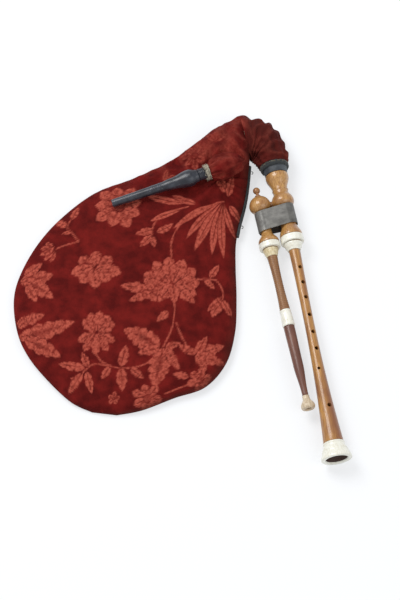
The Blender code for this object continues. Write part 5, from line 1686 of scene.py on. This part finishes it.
    @staticmethod
    def sag(angle: float, place: float) -> float:
        """The leather collar's slack.

        Args:
            angle: the turn round the stock.
            place: the place along it.

        Returns:
            What it adds to the radius.
        """
        return 0.28 * ring_noise(angle, 1.5, place * 0.12)

    def hem(self) -> None:
        """The hem's tape with its stitches, and the leather collar below it."""
        place = stock_place()
        tape = bored([(20.6, -44.2), (21.7, -43.0), (21.7, -39.0), (20.9, -36.4)], 18.6)
        piece = lathe("hem_tape", tape, place, self.finishes.tape, FINE_ROUND, self.pucker)
        give(piece, Body.STOCK, ("neck_hem_tape",))
        upper = ((16.3, -41.0), (18.3, -41.0), (18.5, -38.5), (18.2, -35.5))
        lower = ((17.6, -31.5), (17.05, -28.2), (16.9, -27.3), (15.75, -27.3), (15.75, -41.0))
        collar = eased((*upper, *lower))
        piece = lathe("collar_leather", collar, place, self.finishes.collar, FINE_ROUND, self.sag)
        give(piece, Body.STOCK, ("leather_collar",))
        stitches = StrandRing(
            count=46,
            radius=self.hem_radius + 0.05,
            length=2.6,
            thickness=0.16,
            outwards=0.0,
            around=1.0,
            along=0.25,
            spread=0.1,
            seed=4,
        )
        ring = place @ Matrix.Translation((0.0, 0.0, self.stitch_place))
        give(stitches.build("hem_stitches", ring, self.finishes.thread), Body.STOCK)

    def build(self) -> None:
        """Build and hand over every piece."""
        self.body()
        self.neck()
        self.leg()
        self.hem()
        self.inner_skin()
        self.tape()
        dress_node("closure_hook_upper", self.finishes.sheet)
        dress_node("closure_hook_lower", self.finishes.sheet)


def dress_node(name: str, finish: bpy.types.Material) -> None:
    """Give a solid whose shape stays its finish.

    Args:
        name: the node's name.
        finish: its finish.
    """
    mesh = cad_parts[name].data
    mesh.materials.clear()
    mesh.materials.append(finish)
    LOG.info("%s keeps its solid", name)


@dataclass
class Stock:
    """The double stock: two barrels, a knob, two ferrules and a metal band."""

    finishes: Finishes
    cup_radius: float = 17.4
    waist_radius: float = 11.3
    bulb_radius: float = 16.85
    drone_bulb_radius: float = 16.35
    seat_radius: float = 12.0
    drone_seat_radius: float = 8.4

    def main(self) -> None:
        """The main barrel, from the lip of its cup to its socket."""
        profile = [
            (11.6, -56.0),
            (11.6, -41.0),
            (15.4, -38.0),
            (15.4, -26.8),
            (16.6, -26.6),
            (17.2, -25.6),
            *cove(self.cup_radius, self.waist_radius, -22.0, -1.4, 14),
            (12.1, -0.6),
            (12.3, 0.2),
            (12.0, 0.9),
            (11.4, 1.4),
            *bulb(19.0, self.bulb_radius, 16.5, 11.5, 7.0, 27.0, 22),
            *cove(self.seat_radius, 17.0, 59.0, 76.2, 12),
            (17.0, 77.3),
            (13.0, 77.3),
            (13.0, SOCKET_MOUTH),
            (8.6, SOCKET_MOUTH),
            (8.6, 62.0),
            (7.6, 61.0),
            (7.6, -56.0),
        ]
        piece = lathe("main_barrel", eased(profile), stock_place(), self.finishes.stock_wood)
        give(piece, Body.STOCK, ("main_stock",))

    def drone(self) -> None:
        """The drone's barrel."""
        profile = [
            (0.0, 3.7),
            (5.1, 3.7),
            *bulb(19.5, self.drone_bulb_radius, 16.5, 12.5, 3.85, 30.2, 26)[1:],
            *cove(self.drone_seat_radius, 15.6, 64.5, 80.0, 12),
            (15.6, 81.4),
            (11.5, 81.4),
            (11.5, DRONE_MOUTH),
            (7.6, DRONE_MOUTH),
            (7.6, 66.0),
            (5.9, 65.0),
            (5.9, 12.0),
            (0.0, 11.0),
        ]
        profile = [(radius, place - DRONE_MOUTH) for radius, place in profile]
        piece = lathe("drone_barrel", eased(profile), drone_place(), self.finishes.stock_wood)
        give(piece, Body.STOCK, ("drone_stock",))

    def knob(self) -> None:
        """The turned knob on the drone's barrel."""
        profile = [
            (0.0, -12.5),
            *bulb(-7.2, 5.3, 5.3, 5.3, -12.4, -2.5, 22)[1:],
            (2.3, -1.6),
            (2.5, -0.6),
            *cove(2.6, 4.7, -0.2, 2.4, 6),
            (4.7, 3.4),
            (2.8, 3.4),
            (2.8, 8.4),
            (0.0, 8.4),
        ]
        profile = [(radius, place - DRONE_MOUTH) for radius, place in profile]
        rounded = eased(profile, 0.2)
        piece = lathe("barrel_knob", rounded, drone_place(), self.finishes.knob_wood, SMALL_ROUND)
        give(piece, Body.STOCK, ("drone_stock_finial",))

    def ferrules(self) -> None:
        """The white rings at the sockets, with a turned line round each."""
        upper = ((16.6, 77.7), (17.4, 78.5), (17.5, 81.6))
        lower = ((17.25, 82.0), (17.5, 82.4), (17.5, 87.2), (16.8, 88.35))
        profile = bored((*upper, *lower), 13.2)
        piece = lathe("main_socket_ring", profile, stock_place(), self.finishes.bone)
        give(piece, Body.STOCK, ("main_stock_ferrule",))
        upper = ((15.2, -9.3), (15.9, -8.5), (15.95, -5.6))
        lower = ((15.7, -5.2), (15.95, -4.8), (15.95, -1.0), (15.2, -0.05))
        profile = bored((*upper, *lower), 11.7)
        piece = lathe("drone_socket_ring", profile, drone_place(), self.finishes.bone)
        give(piece, Body.STOCK, ("drone_stock_ferrule",))

    def band(self) -> None:
        """The band, the tube across the barrels and the neck's tie keep their solids."""
        dress_node("stock_band", self.finishes.sheet)
        dress_node("air_bridge", self.finishes.drone_wood)
        dress_node("neck_tie", self.finishes.thread)

    def build(self) -> None:
        """Build and hand over every piece."""
        self.main()
        self.drone()
        self.knob()
        self.ferrules()
        self.band()


@dataclass
class Chanter:
    """The chanter: tube with finger holes, collar and bell."""

    finishes: Finishes
    length: float = 343.3
    bell_length: float = 25.5
    top_radius: float = 8.85
    narrow_radius: float = 7.15
    narrow_place: float = 110.0
    bell_radius: float = 14.75
    hole_turn: float = 21.0
    hole_radius: float = 2.9
    holes: tuple[float, ...] = (42.3, 66.9, 91.0, 119.4, 146.8, 173.3)
    little_hole: Triple = (205.0, 2.2, -2.0)
    low_hole: Point = (263.6, 3.0)
    thumb_hole: Point = (30.0, 2.8)

    def radius(self, place: float) -> float:
        """The tube's outer radius.

        Args:
            place: the place along the chanter.

        Returns:
            The radius there.
        """
        start = self.length - self.bell_length
        if place < self.narrow_place:
            share = 1.0 - place / self.narrow_place
            return self.narrow_radius + (self.top_radius - self.narrow_radius) * share * share
        share = (place - self.narrow_place) / (start - self.narrow_place)
        return self.narrow_radius + (self.bell_radius - self.narrow_radius) * share**2.2

    def tube(self) -> None:
        """The tube with its bore and holes."""
        start = self.length - self.bell_length
        body = [(self.radius(place), place) for place in np.linspace(12.7, start - 0.4, 60).tolist()]
        profile = [
            (2.9, -26.0),
            (7.3, -26.0),
            (7.3, 12.6),
            *body,
            (14.0, start - 0.3),
            (14.0, start + 17.8),
            *reversed(cove(6.2, 12.6, start - 20.2, start + 17.8, 12)),
            (2.2, -18.0),
            (2.9, -18.0),
        ]
        piece = lathe("chanter_body", eased(profile, 0.2), chanter_place(), self.finishes.chanter_wood)
        self.pierce(piece)
        give(piece, Body.CHANTER, ("chanter_tube",))

    def pierce(self, piece: bpy.types.Object) -> None:
        """Cut the finger holes.

        Args:
            piece: the tube.
        """
        holes = [(place, self.hole_radius, self.hole_turn) for place in self.holes]
        holes.append(self.little_hole)
        holes.append((*self.low_hole, self.hole_turn))
        holes.append((*self.thumb_hole, self.hole_turn + 180.0))
        build = bmesh.new()
        for place, radius, turn in holes:
            depth = self.radius(place) + 3.0
            pose = (
                Matrix.Diagonal((MM, MM, MM, 1.0))
                @ chanter_place()
                @ Matrix.Translation((0.0, 0.0, place))
                @ Matrix.Rotation(math.radians(-turn), 4, "Z")
                @ Matrix.Rotation(math.radians(-90.0), 4, "X")
                @ Matrix.Translation((0.0, 0.0, 0.5 * depth))
            )
            bmesh.ops.create_cone(
                build,
                cap_ends=True,
                segments=28,
                radius1=radius,
                radius2=radius * 1.06,
                depth=depth,
                matrix=pose,
            )
        mesh = bpy.data.meshes.new("hole_guides")
        build.to_mesh(mesh)
        build.free()
        guide = bpy.data.objects.new("hole_guides", mesh)
        bpy.context.scene.collection.objects.link(guide)
        cut = piece.modifiers.new("holes", "BOOLEAN")
        cut.solver = "EXACT"
        cut.object = guide
        graph = bpy.context.evaluated_depsgraph_get()
        result = bpy.data.meshes.new_from_object(piece.evaluated_get(graph))
        piece.modifiers.clear()
        piece.data = result
        bpy.data.objects.remove(guide, do_unlink=True)

    def collar(self) -> None:
        """The white collar below the socket."""
        profile = [
            (13.4, 0.85),
            (14.0, 1.5),
            (14.1, 3.2),
            (13.3, 4.1),
            (13.5, 4.9),
            (12.9, 5.3),
            *cove(12.8, 10.1, 5.8, 11.6, 8),
            (9.6, 12.4),
        ]
        piece = lathe("chanter_ring", bored(profile, 7.5), chanter_place(), self.finishes.bone)
        give(piece, Body.CHANTER, ("chanter_collar",))

    def bell(self) -> None:
        """The ringed and flared ferrule of the bell."""
        start = self.length - self.bell_length
        end = self.length
        neck = self.bell_radius
        profile = [
            (neck + 0.2, start),
            (neck + 1.2, start + 1.1),
            (neck + 1.3, start + 2.6),
            (neck + 0.6, start + 3.6),
            (neck + 0.9, start + 4.4),
            *cove(neck + 0.9, neck + 3.3, start + 4.8, start + 11.2, 8),
            (neck + 2.9, start + 11.9),
            (neck + 4.3, start + 12.7),
            *cove(neck + 4.5, 22.4, start + 13.2, end - 1.6, 10),
            (22.5, end - 0.9),
            (21.85, end),
            (16.8, end),
            (15.9, end - 1.8),
            (14.3, start + 18.1),
            (14.3, start),
        ]
        piece = lathe("bell_ring", eased(profile, 0.35), chanter_place(), self.finishes.bone)
        give(piece, Body.CHANTER, ("bell_ferrule",))

    def lining(self) -> None:
        """A dark lining inside the bell: painted shade in its bore."""
        start = self.length - self.bell_length
        profile = [
            (6.0, start - 20.0),
            (6.3, start - 20.0),
            (12.7, start + 17.9),
            (14.2, start + 18.2),
            (15.85, self.length - 1.9),
            (15.4, self.length - 1.7),
            (13.9, start + 18.6),
            (12.2, start + 17.9),
        ]
        piece = lathe("bell_bore", profile, chanter_place(), self.finishes.bore_shade_wood)
        give(piece, Body.CHANTER)

    def build(self) -> None:
        """Build and hand over every piece."""
        self.tube()
        self.collar()
        self.bell()
        self.lining()
        dress_node("chanter_lapping", self.finishes.thread)
        dress_node("chanter_reed_binding", self.finishes.thread)
        dress_node("chanter_reed_staple", self.finishes.brass)
        dress_node("chanter_reed_blade_front", self.finishes.cane)
        dress_node("chanter_reed_blade_back", self.finishes.cane)


@dataclass
class Drone:
    """The drone: ringed upper joint, plain lower joint, ferrule and horn foot."""

    finishes: Finishes
    upper_length: float = 100.9
    ferrule_length: float = 25.9
    lower_length: float = 110.3
    foot_length: float = 20.7
    ring_spacing: float = RING_SPACING
    ring_height: float = 0.34

    def upper(self) -> None:
        """The upper joint with its close-set turned rings."""
        first, last = 13.3, self.upper_length - 0.3
        points = []
        for place in np.arange(first, last, 0.31).tolist():
            share = 2.0 * (place - first) / (last - first) - 1.0
            plain = 6.1 + 1.5 * share * share
            wave = math.cos(math.tau * place / self.ring_spacing)
            points.append((plain + self.ring_height * max(0.0, wave) ** 0.6, place))
        profile = [
            (2.2, -25.0),
            (6.3, -25.0),
            (6.3, first),
            *points,
            (7.4, last),
            (4.5, last),
            (4.5, last + 22.0),
            (2.2, last + 22.0),
        ]
        facets = SMALL_ROUND + 16
        piece = lathe("drone_upper_tube", profile, drone_place(), self.finishes.drone_wood, facets)
        give(piece, Body.DRONE_UPPER, ("drone_upper_joint",))
        collar = [
            (11.2, 0.6),
            (11.7, 1.4),
            (11.6, 3.4),
            (10.8, 4.2),
            (11.0, 4.9),
            *cove(10.7, 8.7, 5.4, 12.0, 8),
            (8.2, 13.0),
        ]
        piece = lathe("drone_ring", bored(collar, 6.5), drone_place(), self.finishes.old_bone)
        give(piece, Body.DRONE_UPPER, ("drone_collar",))

    def lower(self) -> None:
        """The lower joint, its ferrule and its foot."""
        start = self.upper_length
        ferrule_end = start + self.ferrule_length
        tube_end = ferrule_end + self.lower_length
        profile = [
            (5.7, start),
            (7.0, start),
            (7.0, ferrule_end + 0.3),
            (7.9, ferrule_end + 0.4),
            (8.1, ferrule_end + 1.6),
            *cove(8.1, 7.4, ferrule_end + 4.0, ferrule_end + 58.0, 10),
            *cove(7.4, 4.55, ferrule_end + 60.0, tube_end - 4.0, 16),
            (4.55, tube_end - 0.3),
            (2.2, tube_end - 0.3),
            (2.2, start + 24.0),
            (5.7, start + 24.0),
        ]
        piece = lathe("drone_lower_tube", eased(profile, 0.2), drone_place(), self.finishes.red_wood)
        give(piece, Body.DRONE_LOWER, ("drone_lower_joint",))
        ferrule = [
            (7.6, start + 0.05),
            (8.4, start + 0.9),
            (8.4, start + 2.6),
            (7.8, start + 3.5),
            (8.3, start + 4.8),
            *cove(8.5, 9.1, start + 7.0, start + 18.0, 6),
            (8.6, start + 19.0),
            (8.6, start + 20.4),
            (9.3, start + 21.2),
            (9.3, start + 24.6),
            (8.6, ferrule_end),
        ]
        piece = lathe("drone_middle_ring", bored(ferrule, 7.3), drone_place(), self.finishes.bone)
        give(piece, Body.DRONE_LOWER, ("drone_middle_ferrule",))
        self.foot(tube_end)

    def foot(self, start: float) -> None:
        """The flared horn foot.

        Args:
            start: where it starts along the drone.
        """
        end = start + self.foot_length
        profile = [
            (4.6, start),
            (5.4, start + 1.1),
            (5.1, start + 2.4),
            *cove(5.2, 10.3, start + 4.0, end - 4.6, 14),
            (10.4, end - 3.4),
            (9.9, end - 1.4),
            (8.7, end - 0.1),
            (5.2, end),
            (4.3, end - 0.8),
            (4.2, end - 9.0),
            (2.2, end - 9.2),
            (2.2, start),
        ]
        piece = lathe("drone_horn_foot", eased(profile, 0.35), drone_place(), self.finishes.horn)
        give(piece, Body.DRONE_LOWER, ("drone_foot",))

    def build(self) -> None:
        """Build and hand over every piece."""
        self.upper()
        self.lower()
        for name, finish in (
            ("drone_lapping", self.finishes.thread),
            ("drone_slide_lapping", self.finishes.thread),
            ("drone_reed_bridle", self.finishes.thread),
            ("drone_reed_tube", self.finishes.cane),
            ("drone_reed_tongue", self.finishes.cane),
        ):
            dress_node(name, finish)


@dataclass
class Inlet:
    """The inlet pipe, its stock, the cord that binds it and the valve."""

    finishes: Finishes
    length: float = 136.0
    bulb_radius: float = 12.9
    frays: tuple[tuple[int, float, float], ...] = ((34, -10.9, 0.75), (40, -13.6, 0.8), (38, -17.2, 0.8))

    def pipe(self) -> None:
        """The black pipe: bulb, neck, fine rings and tapered tip."""
        rings = []
        for place in np.arange(58.6, 73.4, 0.36).tolist():
            wave = max(0.0, math.cos(math.tau * (place - 60.0) / 2.9)) ** 0.7
            rings.append((7.15 - 0.016 * (place - 60.0) + 0.36 * wave, place))
        end = self.length
        profile = [
            (2.9, -21.0),
            (5.1, -21.0),
            (5.1, 0.0),
            (8.6, 0.0),
            (9.3, 0.8),
            *cove(9.4, self.bulb_radius, 2.0, 13.0, 12),
            *cove(self.bulb_radius, 8.8, 15.0, 41.0, 18)[1:],
            *cove(8.75, 7.2, 42.0, 58.0, 8),
            *rings,
            (6.7, 76.0),
            (5.9, end - 1.4),
            (5.5, end),
            (3.9, end),
            (3.9, end - 10.0),
            (2.9, end - 10.2),
        ]
        piece = lathe("inlet_tube", eased(profile, 0.14), inlet_place(), self.finishes.black)
        give(piece, Body.INLET_PIPE, ("inlet_pipe",))
        dress_node("inlet_lapping", self.finishes.thread)

    def holder(self) -> None:
        """The stock's ringed end, and the rest of it inside the bag."""
        ridges = []
        for place in np.arange(1.0, 9.6, 0.24).tolist():
            wave = abs(math.sin(math.pi * (place - 0.6) / 2.2))
            ridges.append((8.45 + 0.62 * wave**0.6, -place))
        profile = [
            (6.4, -0.35),
            (8.3, -0.35),
            *ridges,
            (7.9, -10.4),
            (7.9, -18.0),
            (8.7, -18.4),
            (8.7, -38.0),
            (4.2, -38.0),
            (4.2, -23.0),
            (6.4, -23.0),
        ]
        piece = lathe("inlet_holder", profile, inlet_place(), self.finishes.black)
        give(piece, Body.BAG, ("inlet_stock",))
        dress_node("valve_flap", self.finishes.collar)
        dress_node("valve_keeper", self.finishes.collar)

    def cord(self) -> None:
        """The binding cord with its frayed ends."""
        dress_node("inlet_binding", self.finishes.cord)
        for index, (count, place, spread) in enumerate(self.frays):
            frays = StrandRing(
                count=count,
                radius=11.0,
                length=5.2,
                thickness=0.17,
                outwards=0.55,
                around=0.65,
                along=-0.25 + 0.25 * index,
                spread=spread,
                seed=11 + index,
            )
            ring = inlet_place() @ Matrix.Translation((0.0, 0.0, place))
            piece = frays.build(f"cord_frays_{index + 1}", ring, self.finishes.cord)
            give(piece, Body.BAG)

    def build(self) -> None:
        """Build and hand over every piece."""
        self.pipe()
        self.holder()
        self.cord()


@dataclass
class Studio:
    """Floor, lamps and camera."""

    elevation: float = 66.5
    distance: float = 2.96
    lens: float = 120.0
    target: tuple[float, float] = (0.030, -0.0175)
    floor_size: float = 6.0

    def camera(self) -> None:
        """The camera at the photograph's viewing angle."""
        data = bpy.data.cameras.new("camera")
        data.lens = self.lens
        data.sensor_width = 36.0
        camera = bpy.data.objects.new("camera", data)
        tilt = math.radians(self.elevation)
        camera.location = (
            self.target[0],
            self.target[1] - self.distance * math.cos(tilt),
            self.distance * math.sin(tilt),
        )
        camera.rotation_euler = (math.radians(90.0) - tilt, 0.0, 0.0)
        bpy.context.scene.collection.objects.link(camera)
        bpy.context.scene.camera = camera

    def floor(self) -> None:
        """A pale floor that shows white to the camera and keeps the shadow."""
        half = 0.5 * self.floor_size
        mesh = bpy.data.meshes.new("floor")
        corners = [(-half, -half, 0.0), (half, -half, 0.0), (half, half, 0.0), (-half, half, 0.0)]
        mesh.from_pydata(corners, [], [(0, 1, 2, 3)])
        material = bpy.data.materials.new("pale_floor")
        material.use_nodes = True
        nodes, links = material.node_tree.nodes, material.node_tree.links
        nodes.clear()
        output = nodes.new("ShaderNodeOutputMaterial")
        diffuse = nodes.new("ShaderNodeBsdfDiffuse")
        diffuse.inputs["Color"].default_value = (0.9, 0.92, 0.95, 1.0)
        glow = nodes.new("ShaderNodeEmission")
        glow.inputs["Color"].default_value = (0.985, 0.99, 1.0, 1.0)
        path = nodes.new("ShaderNodeLightPath")
        seen = nodes.new("ShaderNodeMath")
        seen.operation = "MULTIPLY"
        seen.inputs[1].default_value = 0.62
        links.new(path.outputs["Is Camera Ray"], seen.inputs[0])
        mixed = nodes.new("ShaderNodeMixShader")
        links.new(seen.outputs[0], mixed.inputs["Fac"])
        links.new(diffuse.outputs[0], mixed.inputs[1])
        links.new(glow.outputs[0], mixed.inputs[2])
        links.new(mixed.outputs[0], output.inputs["Surface"])
        mesh.materials.append(material)
        floor = bpy.data.objects.new("floor", mesh)
        bpy.context.scene.collection.objects.link(floor)

    def lamps(self) -> None:
        """A large soft lamp from the upper left, a weak one opposite, and an even sky."""
        for name, place, size, power in (
            ("key", (-1.1, 0.9, 2.2), 1.3, 42.0),
            ("fill", (1.6, -1.2, 1.9), 1.8, 14.0),
        ):
            data = bpy.data.lights.new(name, "AREA")
            data.size = size
            data.energy = power
            lamp = bpy.data.objects.new(name, data)
            lamp.location = place
            lamp.rotation_euler = (-Vector(place)).to_track_quat("-Z", "Y").to_euler()
            bpy.context.scene.collection.objects.link(lamp)
        world = bpy.data.worlds.new("sky")
        world.use_nodes = True
        background = world.node_tree.nodes["Background"]
        background.inputs["Color"].default_value = (0.96, 0.98, 1.0, 1.0)
        background.inputs["Strength"].default_value = 0.62
        bpy.context.scene.world = world

    def build(self) -> None:
        """Set up the whole studio."""
        self.camera()
        self.floor()
        self.lamps()
        bpy.context.scene.view_settings.view_transform = "Standard"


def main() -> None:
    """Build the studio and every sub-assembly in order."""
    logging.basicConfig(level=logging.INFO, format="%(message)s")
    Studio().build()
    finishes = Finishes()
    for assembly in (Bag, Stock, Chanter, Drone, Inlet):
        assembly(finishes).build()
        LOG.info("%s done", assembly.__name__)


if __name__ == "__main__":
    main()
